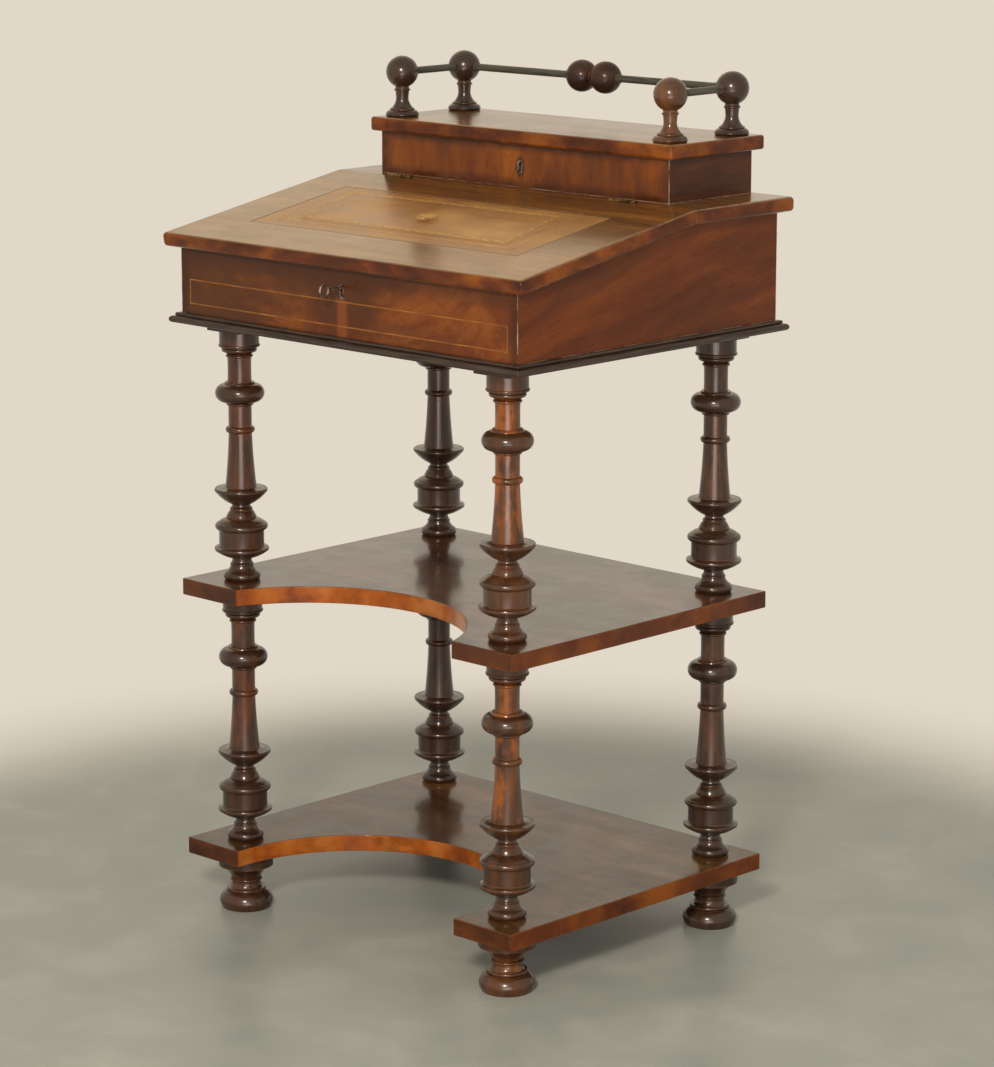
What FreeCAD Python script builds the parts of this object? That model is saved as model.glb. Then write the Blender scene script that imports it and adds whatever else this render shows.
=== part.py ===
# A small Victorian davenport: a sloping desk with a stationery box and a turned gallery on top,
# carried by two tiers of turned columns, two shelves with hollowed fronts and four bun feet.
# Millimetres, +X to the sitter's right hand, -Y towards the sitter, +Z up, floor at Z = 0.
import FreeCAD, Part
import math
import os
from types import SimpleNamespace

import Sketcher

# -------------------------------------------------------------------------------- driving sizes

SIZES = {
    # the case
    "case_width": 543,
    "case_depth": 433,
    "case_back_height": 127.2,  # base board to the underside of the flat top
    "front_wall": 15,
    "side_wall": 14,
    "back_wall": 12,
    "base_board_thickness": 12,
    "moulding_nose": 11.5,  # reach of the base moulding's lower round
    "moulding_round": 8,  # height of that round
    "moulding_bead_reach": 6,
    # the writing lid and the flat top behind it
    "lid_slope": 10,  # degrees
    "lid_front_overhang": 15,
    "top_side_overhang": 18.5,
    "top_back_overhang": 10,
    "flat_top_depth": 172.5,
    "top_thickness": 17,
    "top_rounding": 5,
    "joint_gap": 0.4,  # open line between a lid and the wood it is hinged to
    "lid_seat": 0.2,  # room between the closed writing lid and the case
    # the shelves
    "shelf_depth": 431,
    "shelf_reach": 7,  # shelves in front of the case
    "shelf_thickness": 20,
    "shelf_rounding": 1.2,
    "middle_shelf_width": 542,
    "middle_hollow_half": 178,  # half the width of the hollow in the front edge
    "middle_hollow_depth": 126,
    "bottom_shelf_width": 536,
    "bottom_hollow_half": 180,
    "bottom_hollow_run": 19,  # straight part of the hollow, before its round part
    "bottom_hollow_depth": 180,  # the round part
    # the columns: where they stand and how they are joined
    "foot_height": 66,
    "lower_column_height": 300,
    "upper_column_height": 299.5,
    "front_column_x": 218,
    "back_column_x": 226,
    "front_column_inset": 48,  # from the front edge of the shelves
    "back_column_inset": 42,  # from their back edge
    "plate_size": 53,  # square plates between the upper columns and the base board
    "plate_thickness": 8,
    "tenon_radius": 7,
    "tenon_hold": 18,  # length of a tenon in the column above it
    "tenon_end_gap": 1,
    "board_tenon": 8,  # length of the top tenon in the base board
    "fit_gap": 0.05,  # radial room round tenons, pins and screws
    # the columns' turned outline, from the foot up
    "bulb_radius": 22,
    "bulb_height": 9,
    "bulb_flare_height": 8,
    "bulb_top_radius": 13.6,
    "ring_height": 2.6,
    "ring_radius": 13.4,
    "low_neck_radius": 11.6,
    "low_neck_height": 6.4,
    "bowl_height": 9.5,
    "flange_radius": 32,
    "flange_height": 3.5,
    "flange_hollow_height": 2.5,
    "drum_radius": 27,
    "drum_height": 19,
    "cap_edge_radius": 28.2,
    "cap_radius": 31.4,
    "cap_height": 8.4,
    "cap_slope_height": 5.6,
    "bell_radius": 17.4,
    "bell_ring_height": 2.6,
    "bell_height": 7,
    "bell_top_radius": 13,
    "high_ring_height": 2.6,
    "cup_neck_radius": 10.6,
    "cup_neck_height": 3.8,
    "cup_height": 15.5,
    "cup_radius": 30.6,
    "cup_lip_height": 4.5,
    "cup_dish": 1.5,  # rise of the cup's top towards the shaft
    "taper_foot_radius": 18.6,
    "taper_share": 0.544,  # of the plain lengths between the turned rings
    "shaft_radius": 13.8,
    "bead_height": 8,
    "bead_radius": 17.4,
    "shaft_share": 0.21,  # likewise; the upper shaft has the rest
    "knop_foot_height": 4,
    "knop_foot_radius": 16.4,
    "knop_height": 21.5,
    "knop_edge_radius": 18.5,
    "knop_radius": 29.2,
    "knop_shoulder_height": 2.5,
    "knop_shoulder_radius": 17,
    "upper_shaft_radius": 14.2,
    "collar_ring_height": 3.2,
    "collar_ring_radius": 16.2,
    "collar_cove_height": 3.6,
    "collar_bead_height": 4.6,
    "collar_bead_radius": 21,
    "collar_groove": 1.2,
    "collar_lip_height": 3.5,
    "collar_lip_radius": 24.6,
    "collar_radius": 23.6,
    "collar_height": 19.5,
    # the feet's turned outline, from the floor up
    "bun_foot_radius": 29,
    "bun_low_height": 9,  # floor to the widest part
    "bun_radius": 32.2,
    "bun_high_height": 12,
    "bun_top_radius": 24.2,
    "foot_ring_radius": 22.8,
    "foot_ring_height": 4,
    "foot_neck_foot_radius": 20,
    "foot_neck_height": 9,
    "foot_neck_radius": 17.4,
    "foot_bead_height": 2.6,
    "foot_bead_radius": 19.6,
    "foot_cove_height": 16,
    "foot_cove_radius": 32,
    "foot_disc_radius": 33,
    # the stationery box and its lid
    "box_width": 462,
    "box_depth": 144,
    "box_height": 50,
    "box_setback": 20,  # behind the joint of the writing lid
    "box_front_wall": 12,
    "box_wall": 10,
    "slab_side_overhang": 11,
    "slab_front_overhang": 9,
    "slab_back_overhang": 10.5,
    "slab_rounding": 3.5,
    # the gallery
    "ball_radius": 19.5,
    "ball_rise": 53.8,  # stationery lid to the centre of a ball
    "post_side_inset": 27,  # from the side edge of the stationery lid
    "post_front_inset": 28.3,
    "post_back_inset": 27.5,
    "post_foot_radius": 18.6,
    "post_base_radius": 20.2,
    "post_base_low_height": 2.8,
    "post_base_high_height": 5,
    "post_base_top_radius": 15.4,
    "post_step_radius": 14.6,
    "post_step_height": 2,
    "post_flare_radius": 13.8,
    "post_flare_height": 12.6,
    "post_neck_radius": 7.6,
    "post_neck_top_radius": 8.4,
    "post_ring_radius": 9.8,
    "post_ring_height": 3,
    "post_ring_drop": 21.6,  # centre of the ball to the middle of the ring
    "post_tenon_radius": 5,
    "post_tenon_hold": 12,
    "rail_radius": 4.4,
    "rail_collar_radius": 5.6,
    "rail_collar_length": 4,
    "rail_tenon_radius": 3,
    "rail_tenon_hold": 7,
    "twin_radius": 19.2,
    "twin_spacing": 38,
    "twin_neck_radius": 8,
    # the leather and the stringing
    "leather_width": 432,
    "leather_length": 160,
    "leather_back_margin": 56,
    "leather_recess": 1,
    "leather_thickness": 0.9,
    "leather_gap": 0.3,
    "stringing_half": 257,
    "stringing_low": 11.5,  # above the base board
    "stringing_rise": 29.5,
    "stringing_line": 1.5,
    "stringing_depth": 1,
    # the hinges
    "hinge_length": 40,
    "lid_hinge_x": 180,
    "box_hinge_x": 150,
    "hinge_lift": 0.5,  # pin above the flat top
    "hinge_standoff": 2.8,  # pin behind the stationery box
    "leaf_height": 12.6,
    "leaf_thickness": 1.5,
    "knuckle_radius": 2.5,
    "knuckle_room": 0.3,
    "knuckle_play": 0.15,
    "pin_radius": 1.2,
    "screw_x": 12,
    "screw_drop": 7.6,
    "screw_length": 8,
    "screw_radius": 1.1,
    "screw_head_radius": 2.2,
    "screw_head_depth": 1.2,
    "screw_slot": 0.6,
    # the locks, the key and the escutcheons
    "lock_drop": 23,  # top of a lock to the axis of its key
    "lock_below": 14,
    "lock_half": 21,
    "lock_thickness": 9,
    "lock_skin": 1.5,
    "lock_room_radius": 9.2,
    "lock_plate_half": 27,
    "lock_plate_thickness": 1.5,
    "bolt_half": 7,
    "bolt_thickness": 4,
    "bolt_rise": 9.6,  # axis of the key to the foot of the bolt
    "bolt_play": 0.2,
    "bolt_sunk": 0.1,  # bolt below the top of the lock when it is drawn back
    "strike_half": 17,
    "strike_width": 12,
    "strike_thickness": 1.2,
    "strike_play": 1.5,
    "strike_mortice": 7,
    "drill_pin_radius": 1,
    "key_radius": 2,
    "key_play": 0.6,
    "key_tip": 6.8,
    "key_reach": 33.3,  # lock to the centre of the bow
    "key_collar_radius": 3,
    "key_collar_length": 2,
    "key_collar_reach": 9,
    "bow_radius": 6.5,
    "bow_wire": 1.5,
    "bit_reach": 8.4,
    "bit_thickness": 2,
    "escutcheon_radius": 4.4,
    "escutcheon_tail": 12.6,
    "escutcheon_tail_half": 2.9,
    "escutcheon_depth": 3,
    "escutcheon_proud": 0.6,
    # the fittings inside the case
    "fitting_setback": 14.5,  # behind the joint of the writing lid
    "fitting_shelf_thickness": 9,
    "divider_x": 85,
    "divider_thickness": 8,
    "drawer_room_height": 59,
    "drawer_length": 130,
    "drawer_gap": 0.5,
    "drawer_front": 9,
    "drawer_wall": 6,
    "drawer_bottom": 4,
    "knob_radius": 7,
    "knob_length": 12,
    "knob_face_radius": 3,
    "knob_neck_radius": 3.6,
    "knob_neck_length": 4,
    "knob_tenon_radius": 3,
}

# Curves of edges: the rise of the curve over half its span. Hollow ones are negative.
FLAT_HOLLOW = -0.02
SOFT = 0.12
SWELLING = 0.25
ROUND = 0.5
HOLLOW = -0.22

TINY = 1e-6
SPARE = 30  # how far a cutting shape runs on outside the wood
KNUCKLES = 5  # in a hinge
LEFT, RIGHT = -1, 1
FRONT, BACK = -1, 1


class Size:
    """A number together with the expression that ties it to the sheet."""

    def __init__(self, value, text):
        self.value = value
        self.text = text

    def __add__(self, other):
        other = as_size(other)
        return Size(self.value + other.value, f"({self.text} + {other.text})")

    def __sub__(self, other):
        other = as_size(other)
        return Size(self.value - other.value, f"({self.text} - {other.text})")

    def __mul__(self, other):
        other = as_size(other)
        return Size(self.value * other.value, f"({self.text} * {other.text})")

    def __truediv__(self, other):
        other = as_size(other)
        return Size(self.value / other.value, f"({self.text} / {other.text})")

    def __radd__(self, other):
        return as_size(other) + self

    def __rsub__(self, other):
        return as_size(other) - self

    def __rmul__(self, other):
        return as_size(other) * self

    def __neg__(self):
        return as_size(0) - self


def as_size(number):
    """Any number as a Size."""
    if isinstance(number, Size):
        return number
    return Size(float(number), f"{float(number):g}")


def root(size):
    """The square root of a Size."""
    return Size(math.sqrt(size.value), f"sqrt({size.text})")


def larger(one, other):
    """The larger of two Sizes."""
    return Size(max(one.value, other.value), f"max({one.text}; {other.text})")


def trig(name, degrees):
    """sin, cos or tan of a Size in degrees."""
    value = getattr(math, name)(math.radians(degrees.value))
    return Size(value, f"{name}({degrees.text} * 1 deg)")


doc = FreeCAD.newDocument("davenport_desk")
sheet = doc.addObject("Spreadsheet::Sheet", "Sizes")
for row, (alias, number) in enumerate(SIZES.items(), start=1):
    sheet.set(f"A{row}", alias.replace("_", " "))
    sheet.set(f"B{row}", str(number))
    sheet.setAlias(f"B{row}", alias)
doc.recompute()
s = SimpleNamespace(**{alias: Size(float(number), f"Sizes.{alias}") for alias, number in SIZES.items()})
nodes = []

# ------------------------------------------------------------------------ places worked out once

tangent = trig("tan", s.lid_slope)
cosine = trig("cos", s.lid_slope)

# From front to back. The desk with its key stands centred on the origin.
key_proud = s.key_reach + s.bow_radius + s.bow_wire + s.lock_thickness - s.front_wall
box_inset = s.case_depth + s.top_back_overhang - s.flat_top_depth + s.box_setback
slab_end = box_inset + s.box_depth + s.slab_back_overhang
case_front = (larger(key_proud, s.lid_front_overhang)
              - larger(slab_end, s.case_depth + s.moulding_nose)) / 2
case_back = case_front + s.case_depth
lid_front = case_front - s.lid_front_overhang
top_back = case_back + s.top_back_overhang
joint_y = top_back - s.flat_top_depth
box_front = case_front + box_inset
box_back = box_front + s.box_depth
shelf_front = case_front - s.shelf_reach
shelf_back = shelf_front + s.shelf_depth

# From the floor up.
bottom_shelf_top = s.foot_height + s.shelf_thickness
middle_shelf_foot = bottom_shelf_top + s.lower_column_height
middle_shelf_top = middle_shelf_foot + s.shelf_thickness
plate_foot = middle_shelf_top + s.upper_column_height
base_foot = plate_foot + s.plate_thickness
case_foot = base_foot + s.base_board_thickness
top_foot = case_foot + s.case_back_height
top_high = top_foot + s.top_thickness
box_top = top_high + s.box_height
slab_foot = box_top + s.joint_gap
slab_top = slab_foot + s.top_thickness
ball_z = slab_top + s.ball_rise

# From the middle outwards.
case_half = s.case_width / 2
box_half = s.box_width / 2
top_half = case_half + s.top_side_overhang
slab_half = box_half + s.slab_side_overhang
post_x = slab_half - s.post_side_inset


def rim(y):
    """Height of the case's sloping edge at a place between the front and the joint."""
    return top_high - (s.top_thickness + s.lid_seat) / cosine - (joint_y - y) * tangent


COLUMN_PLACES = {
    "front_left": (-s.front_column_x, shelf_front + s.front_column_inset),
    "front_right": (s.front_column_x, shelf_front + s.front_column_inset),
    "back_left": (-s.back_column_x, shelf_back - s.back_column_inset),
    "back_right": (s.back_column_x, shelf_back - s.back_column_inset),
}

# --------------------------------------------------------------------------- drawing and building

TURNS = {
    "x": FreeCAD.Rotation(FreeCAD.Vector(0, 1, 0), 90),
    "y": FreeCAD.Rotation(FreeCAD.Vector(-1, 0, 0), 90),
    "-y": FreeCAD.Rotation(FreeCAD.Vector(1, 0, 0), 90),
    "z": FreeCAD.Rotation(),
}
UPRIGHT = FreeCAD.Rotation()
LAID_BACK = TURNS["y"]  # a hinge whose leaves lie flat, with its pin behind them


def bind(thing, **sizes):
    """Ties properties of a thing to the sheet."""
    for name, size in sizes.items():
        thing.setExpression(name, as_size(size).text)


def place(thing, x=0, y=0, z=0, turn=UPRIGHT):
    """Puts a thing in its place."""
    thing.Placement = FreeCAD.Placement(FreeCAD.Vector(), turn)
    for name, size in zip("xyz", (x, y, z)):
        thing.setExpression(f"Placement.Base.{name}", as_size(size).text)
    return thing


def tilt_with_lid(thing):
    """Gives a thing the writing lid's own frame: at the joint, sloping down to the front."""
    place(thing, y=joint_y, z=top_high, turn=FreeCAD.Rotation(FreeCAD.Vector(1, 0, 0), s.lid_slope.value))
    thing.setExpression("Placement.Rotation.Angle", s.lid_slope.text)
    return thing


def node(label, thing):
    """Names a finished piece, or a group of like pieces, and keeps it."""
    thing.Label = label
    nodes.append(thing)
    return thing


def new_body(x=0, y=0, z=0, turn=UPRIGHT):
    """An empty body in its place."""
    return place(doc.addObject("PartDesign::Body", "Body"), x, y, z, turn)


def new_sketch(body, plane):
    """A sketch on one of the body's own planes: XY, XZ or YZ."""
    sketch = body.newObject("Sketcher::SketchObject", "Sketch")
    face = next(item for item in body.Origin.OriginFeatures if item.Role == f"{plane}_Plane")
    sketch.AttachmentSupport = [(face, "")]
    sketch.MapMode = "FlatFace"
    return sketch


def hold(sketch, rules):
    """Adds constraints, each tied to its Size if it has one."""
    numbers = sketch.addConstraint([rule for rule, size in rules])
    for number, (rule, size) in zip(numbers, rules):
        if size is not None:
            sketch.setExpression(f"Constraints[{number}]", size.text)


def pin_point(edge, end, x, y):
    """The two rules that put one point of a sketch in its place."""
    return [
        (Sketcher.Constraint("DistanceX", -1, 1, edge, end, x.value), x),
        (Sketcher.Constraint("DistanceY", -1, 1, edge, end, y.value), y),
    ]


def draw_outline(sketch, corners):
    """Draws a closed outline, counterclockwise. A corner's third number curves the edge after it."""
    corners = [[as_size(number) for number in corner if number is not None] for corner in corners]
    edges = []
    rules = []
    for here, ahead in zip(corners, corners[1:] + corners[:1]):
        begin = FreeCAD.Vector(here[0].value, here[1].value)
        end = FreeCAD.Vector(ahead[0].value, ahead[1].value)
        if len(here) == 2:
            edge = sketch.addGeometry(Part.LineSegment(begin, end))
            edges.append((edge, 1, 2))
            continue
        curve = here[2]
        outward = FreeCAD.Vector(end.y - begin.y, begin.x - end.x)
        middle = (begin + end + outward * curve.value) / 2
        edge = sketch.addGeometry(Part.Arc(begin, middle, end))
        forward = (sketch.getPoint(edge, 1) - begin).Length < TINY
        edges.append((edge, 1, 2) if forward else (edge, 2, 1))
        across = ahead[0] - here[0]
        up = ahead[1] - here[1]
        lean = (1 - curve * curve) / (4 * curve)
        if abs(up.value) >= abs(across.value):
            centre = (here[0] + ahead[0]) / 2 - up * lean
            rules.append((Sketcher.Constraint("DistanceX", -1, 1, edge, 3, centre.value), centre))
        else:
            centre = (here[1] + ahead[1]) / 2 + across * lean
            rules.append((Sketcher.Constraint("DistanceY", -1, 1, edge, 3, centre.value), centre))
    for number, (edge, first, last) in enumerate(edges):
        following, its_first, _ = edges[(number + 1) % len(edges)]
        rules.append((Sketcher.Constraint("Coincident", edge, last, following, its_first), None))
        rules += pin_point(edge, first, corners[number][0], corners[number][1])
    hold(sketch, rules)


def draw_circle(sketch, x, y, radius):
    """Draws a circle."""
    centre = FreeCAD.Vector(as_size(x).value, as_size(y).value)
    edge = sketch.addGeometry(Part.Circle(centre, FreeCAD.Vector(0, 0, 1), radius.value))
    hold(sketch, [(Sketcher.Constraint("Radius", edge, radius.value), radius)]
         + pin_point(edge, 3, as_size(x), as_size(y)))


def rectangle(x, y):
    """Corners of a rectangle between two places each way."""
    return [(x[0], y[0]), (x[1], y[0]), (x[1], y[1]), (x[0], y[1])]


def extrude(body, kind, sketch, length, sides):
    """A pad or a pocket as long as given, to one side or shared between both sides."""
    feature = body.newObject(f"PartDesign::{kind}", kind)
    feature.Profile = sketch
    feature.SideType = "Symmetric" if sides == 2 else "One side"
    bind(feature, Length=length)
    return feature


def pad(body, plane, corners, length, sides=1):
    """Adds an outline, drawn out square to its plane."""
    sketch = new_sketch(body, plane)
    draw_outline(sketch, corners)
    return extrude(body, "Pad", sketch, length, sides)


def pocket(body, plane, corners, length, sides=2):
    """Takes an outline out of the body, square to its plane."""
    sketch = new_sketch(body, plane)
    draw_outline(sketch, corners)
    return extrude(body, "Pocket", sketch, length, sides)


def round_edges(body, feature, radius, wanted=None):
    """Rounds those edges of a feature that pass a test, or all of them."""
    doc.recompute()
    names = [f"Edge{number}" for number, edge in enumerate(feature.Shape.Edges, start=1)
             if wanted is None or wanted(edge)]
    fillet = body.newObject("PartDesign::Fillet", "Fillet")
    fillet.Base = (feature, names)
    bind(fillet, Radius=radius)
    return fillet


def reaches_past(length):
    """A test for edges that reach the end of a board away from its joint, which is at zero."""
    return lambda edge: max(-edge.BoundBox.YMin, edge.BoundBox.YMax) > length.value / 2


class Turning:
    """Half the outline of a turned piece, drawn from its foot up."""

    def __init__(self, *start):
        self.points = [tuple(as_size(number) for number in point) for point in start]

    def rise(self, height, radius=None, curve=None):
        """Goes up by a height and in or out to a radius, straight or curved."""
        across, up = self.points[-1][:2]
        if curve is not None:
            self.points[-1] = (across, up, as_size(curve))
        self.points.append((across if radius is None else as_size(radius), up + height))

    def swell(self, height, radius):
        """Goes up by a height with a rounded edge that reaches a radius halfway."""
        across = self.points[-1][0]
        self.rise(height, curve=(as_size(radius) - across) * 2 / height)

    def step(self, radius):
        """Goes square in or out to a radius."""
        self.rise(0, radius)


def turn_on_lathe(turning):
    """A turned piece, upright on the origin. Its outline starts and ends on the axis."""
    body = new_body()
    sketch = new_sketch(body, "XZ")
    draw_outline(sketch, turning.points)
    revolution = body.newObject("PartDesign::Revolution", "Revolution")
    revolution.Profile = sketch
    revolution.ReferenceAxis = (sketch, ["V_Axis"])
    revolution.Angle = 360
    return body


def block(x, y, z):
    """A plain box between two places each way."""
    box = doc.addObject("Part::Box", "Block")
    bind(box, Length=as_size(x[1]) - x[0], Width=as_size(y[1]) - y[0], Height=as_size(z[1]) - z[0])
    return place(box, x[0], y[0], z[0])


def rod(way, start, length, radius, end_radius=None):
    """A plain round rod or cone from its starting point, along x, y, -y or z."""
    kind = "Cylinder" if end_radius is None else "Cone"
    made = doc.addObject(f"Part::{kind}", "Rod")
    bind(made, Height=length)
    if end_radius is None:
        bind(made, Radius=radius)
    else:
        bind(made, Radius1=radius, Radius2=end_radius)
    return place(made, *start, turn=TURNS[way])


def sphere(centre, radius):
    """A plain ball."""
    ball = doc.addObject("Part::Sphere", "Ball")
    bind(ball, Radius=radius)
    return place(ball, *centre)


def fuse(pieces):
    """Several shapes joined to one."""
    if len(pieces) == 1:
        return pieces[0]
    made = doc.addObject("Part::MultiFuse", "Joined")
    made.Shapes = pieces
    return made


def cut(base, tools):
    """What is left of a shape when the tools are taken out of it."""
    made = doc.addObject("Part::Cut", "Cut")
    made.Base = base
    made.Tool = fuse(tools)
    return made


def group(pieces):
    """Like pieces kept together as separate solids."""
    made = doc.addObject("Part::Compound", "Group")
    made.Links = pieces
    return made


def again(piece, x=0, y=0, z=0, turn=UPRIGHT):
    """The same piece once more, in a place of its own."""
    return place(group([piece]), x, y, z, turn)


# ------------------------------------------------------------------------- feet, columns, shelves


def foot():
    """A bun foot, with the tenon that goes up through the bottom shelf into a column."""
    tenon = s.shelf_thickness + s.tenon_hold
    disc_height = (s.foot_height - s.bun_low_height - s.bun_high_height - s.foot_ring_height
                   - s.foot_neck_height - s.foot_bead_height - s.foot_cove_height)
    turning = Turning((0, 0), (s.bun_foot_radius, 0))
    turning.rise(s.bun_low_height, s.bun_radius, SOFT)
    turning.rise(s.bun_high_height, s.bun_top_radius, SWELLING)
    turning.step(s.foot_ring_radius)
    turning.swell(s.foot_ring_height, s.foot_ring_radius + s.foot_ring_height / 4)
    turning.step(s.foot_neck_foot_radius)
    turning.rise(s.foot_neck_height, s.foot_neck_radius, HOLLOW)
    turning.swell(s.foot_bead_height, s.foot_bead_radius)
    turning.rise(s.foot_cove_height, s.foot_cove_radius, HOLLOW)
    turning.step(s.foot_disc_radius)
    turning.rise(disc_height)
    turning.step(s.tenon_radius)
    turning.rise(tenon)
    turning.step(0)
    return turn_on_lathe(turning)


def column(height, tenon):
    """A turned column with a socket in its foot and a tenon on its top."""
    socket_radius = s.tenon_radius + s.fit_gap
    socket_depth = s.tenon_hold + s.tenon_end_gap
    turning = Turning((0, socket_depth), (socket_radius, socket_depth), (socket_radius, 0),
                      (s.bulb_radius - s.bulb_height / 4, 0))
    # bulb, ring and lower neck
    turning.swell(s.bulb_height, s.bulb_radius)
    turning.rise(s.bulb_flare_height, s.bulb_top_radius, HOLLOW)
    turning.rise(s.ring_height, s.ring_radius, ROUND)
    turning.rise(s.low_neck_height, s.low_neck_radius, HOLLOW)
    # bowl, flange and drum
    turning.rise(s.bowl_height, s.flange_radius, SOFT)
    turning.rise(s.flange_height, curve=SWELLING)
    turning.rise(s.flange_hollow_height, s.drum_radius, HOLLOW)
    turning.rise(s.drum_height, curve=FLAT_HOLLOW)
    # rounded cap, bell and upper ring
    turning.step(s.cap_edge_radius)
    turning.swell(s.cap_height, s.cap_radius)
    turning.rise(s.cap_slope_height, s.bell_radius, SOFT)
    turning.rise(s.bell_ring_height, curve=ROUND)
    turning.rise(s.bell_height, s.bell_top_radius, SOFT)
    turning.rise(s.high_ring_height, curve=ROUND)
    # cup
    turning.rise(s.cup_neck_height, s.cup_neck_radius, HOLLOW)
    turning.rise(s.cup_height, s.cup_radius, SOFT)
    turning.rise(s.cup_lip_height, curve=ROUND)
    turning.rise(s.cup_dish, s.taper_foot_radius, HOLLOW / 2)
    # tapered shaft, bead and plain shaft
    knop = s.knop_foot_height + s.knop_height + s.knop_shoulder_height
    collar = (s.collar_ring_height + s.collar_cove_height + s.collar_bead_height + s.collar_groove
              + s.collar_height)
    plain = height - turning.points[-1][1] - s.bead_height - knop - collar
    turning.rise(plain * s.taper_share, s.shaft_radius, FLAT_HOLLOW)
    turning.swell(s.bead_height, s.bead_radius)
    turning.rise(plain * s.shaft_share)
    # knop
    turning.swell(s.knop_foot_height, s.knop_foot_radius)
    turning.step(s.knop_edge_radius)
    turning.swell(s.knop_height, s.knop_radius)
    turning.rise(s.knop_shoulder_height, s.knop_shoulder_radius, SOFT)
    turning.step(s.upper_shaft_radius)
    # upper shaft and collar
    turning.rise(plain * (1 - s.taper_share - s.shaft_share), curve=FLAT_HOLLOW)
    turning.swell(s.collar_ring_height, s.collar_ring_radius)
    turning.rise(s.collar_cove_height, s.collar_bead_radius - s.collar_bead_height / 4, HOLLOW)
    turning.swell(s.collar_bead_height, s.collar_bead_radius)
    turning.rise(s.collar_groove)
    turning.step(s.collar_radius)
    turning.swell(s.collar_lip_height, s.collar_lip_radius)
    turning.rise(s.collar_height - s.collar_lip_height)
    turning.step(s.tenon_radius)
    turning.rise(tenon)
    turning.step(0)
    return turn_on_lathe(turning)


def shelf(z, width, hollow):
    """A shelf whose front edge is hollowed, with a hole for each column's tenon."""
    half = width / 2
    body = new_body(z=z)
    board = pad(body, "XY", [(-half, shelf_front)] + hollow + [
        (half, shelf_front), (half, shelf_back), (-half, shelf_back)], s.shelf_thickness)
    round_edges(body, board, s.shelf_rounding)
    sketch = new_sketch(body, "XY")
    for x, y in COLUMN_PLACES.values():
        draw_circle(sketch, x, y, s.tenon_radius + s.fit_gap)
    extrude(body, "Pocket", sketch, s.shelf_thickness * 4, 2)
    return body


def build_stand():
    """Feet, columns, shelves and the square plates on the upper columns."""
    lower = column(s.lower_column_height, s.shelf_thickness + s.tenon_hold)
    upper = column(s.upper_column_height, s.plate_thickness + s.board_tenon)
    bun = foot()
    for corner, (x, y) in COLUMN_PLACES.items():
        node(f"foot_{corner}", again(bun, x, y))
        node(f"lower_column_{corner}", again(lower, x, y, bottom_shelf_top))
        node(f"upper_column_{corner}", again(upper, x, y, middle_shelf_top))
    half = s.bottom_hollow_half
    bottom_hollow = [
        (-half, shelf_front),
        (-half, shelf_front + s.bottom_hollow_run, -s.bottom_hollow_depth / half),
        (half, shelf_front + s.bottom_hollow_run),
        (half, shelf_front),
    ]
    node("bottom_shelf", shelf(s.foot_height, s.bottom_shelf_width, bottom_hollow))
    half = s.middle_hollow_half
    middle_hollow = [(-half, shelf_front, -s.middle_hollow_depth / half), (half, shelf_front)]
    node("middle_shelf", shelf(middle_shelf_foot, s.middle_shelf_width, middle_hollow))
    reach = s.plate_size / 2
    plate = cut(block((-reach, reach), (-reach, reach), (0, s.plate_thickness)),
                [rod("z", (0, 0, -SPARE), SPARE * 2, s.tenon_radius + s.fit_gap)])
    node("corner_plates", group([again(plate, x, y, plate_foot) for x, y in COLUMN_PLACES.values()]))


# ------------------------------------------------------------------------------ walls and boards


def front_piece(half, front, wall, side, profile):
    """A front, mitred to the sides at both ends."""
    body = new_body()
    pad(body, "YZ", profile, half * 2, 2)
    for hand in (LEFT, RIGHT):
        mitre = [(hand * half, front), (hand * half, front + wall), (hand * (half - side), front + wall)]
        pocket(body, "XY", mitre, top_high * 4)
    return body


def side_piece(hand, half, front, wall, side, profile):
    """A side, mitred to the front."""
    body = new_body(x=hand * (half - side / 2))
    pad(body, "YZ", profile, side, 2)
    inner = -hand * side / 2
    mitre = [(inner, front), (-inner, front), (inner, front + wall)]
    pocket(body, "XY", mitre, top_high * 4)
    return body


def moulding(run, x, y, degrees):
    """A length of base moulding, a round with a bead above it, mitred at both ends."""
    bead = s.base_board_thickness - s.moulding_round
    body = new_body(x, y, base_foot, FreeCAD.Rotation(FreeCAD.Vector(0, 0, 1), degrees))
    round_foot = s.moulding_round / 2 - s.moulding_nose
    bead_foot = bead / 2 - s.moulding_bead_reach
    pad(body, "YZ", [
        (round_foot, 0), (0, 0), (0, s.base_board_thickness),
        (bead_foot, s.base_board_thickness, 1), (bead_foot, s.moulding_round),
        (round_foot, s.moulding_round, 1)], run + s.moulding_nose * 2, 2)
    for hand in (LEFT, RIGHT):
        end = hand * run / 2
        tip = end + hand * s.moulding_nose
        mitre = [(end, 0), (tip, -s.moulding_nose), (tip, 0)]
        pocket(body, "XY", mitre, s.base_board_thickness * 4)
    return body


# Locks, keys and escutcheons are drawn with the key's axis along Y through the origin.


def keyhole_bar(start, end, radius, tail_half, tail):
    """A keyhole-shaped bar along Y: a round head with a tail below it."""
    body = new_body(y=end)
    shoulder = root(radius * radius - tail_half * tail_half)
    pad(body, "XZ", [
        (-tail_half, -tail), (tail_half, -tail),
        (tail_half, -shoulder, (radius + shoulder) / tail_half), (-tail_half, -shoulder)], end - start)
    return body


def key_opening(start, end):
    """Room for the key and its bit."""
    return keyhole_bar(start, end, s.key_radius + s.key_play, s.bit_thickness / 2 + s.key_play,
                       s.bit_reach + s.key_play)


def escutcheon():
    """The steel lining of a keyhole; the wood's face is at zero."""
    plate = keyhole_bar(-s.escutcheon_proud, s.escutcheon_depth, s.escutcheon_radius,
                        s.escutcheon_tail_half, s.escutcheon_tail)
    return cut(plate, [key_opening(as_size(-SPARE), as_size(SPARE))])


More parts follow.
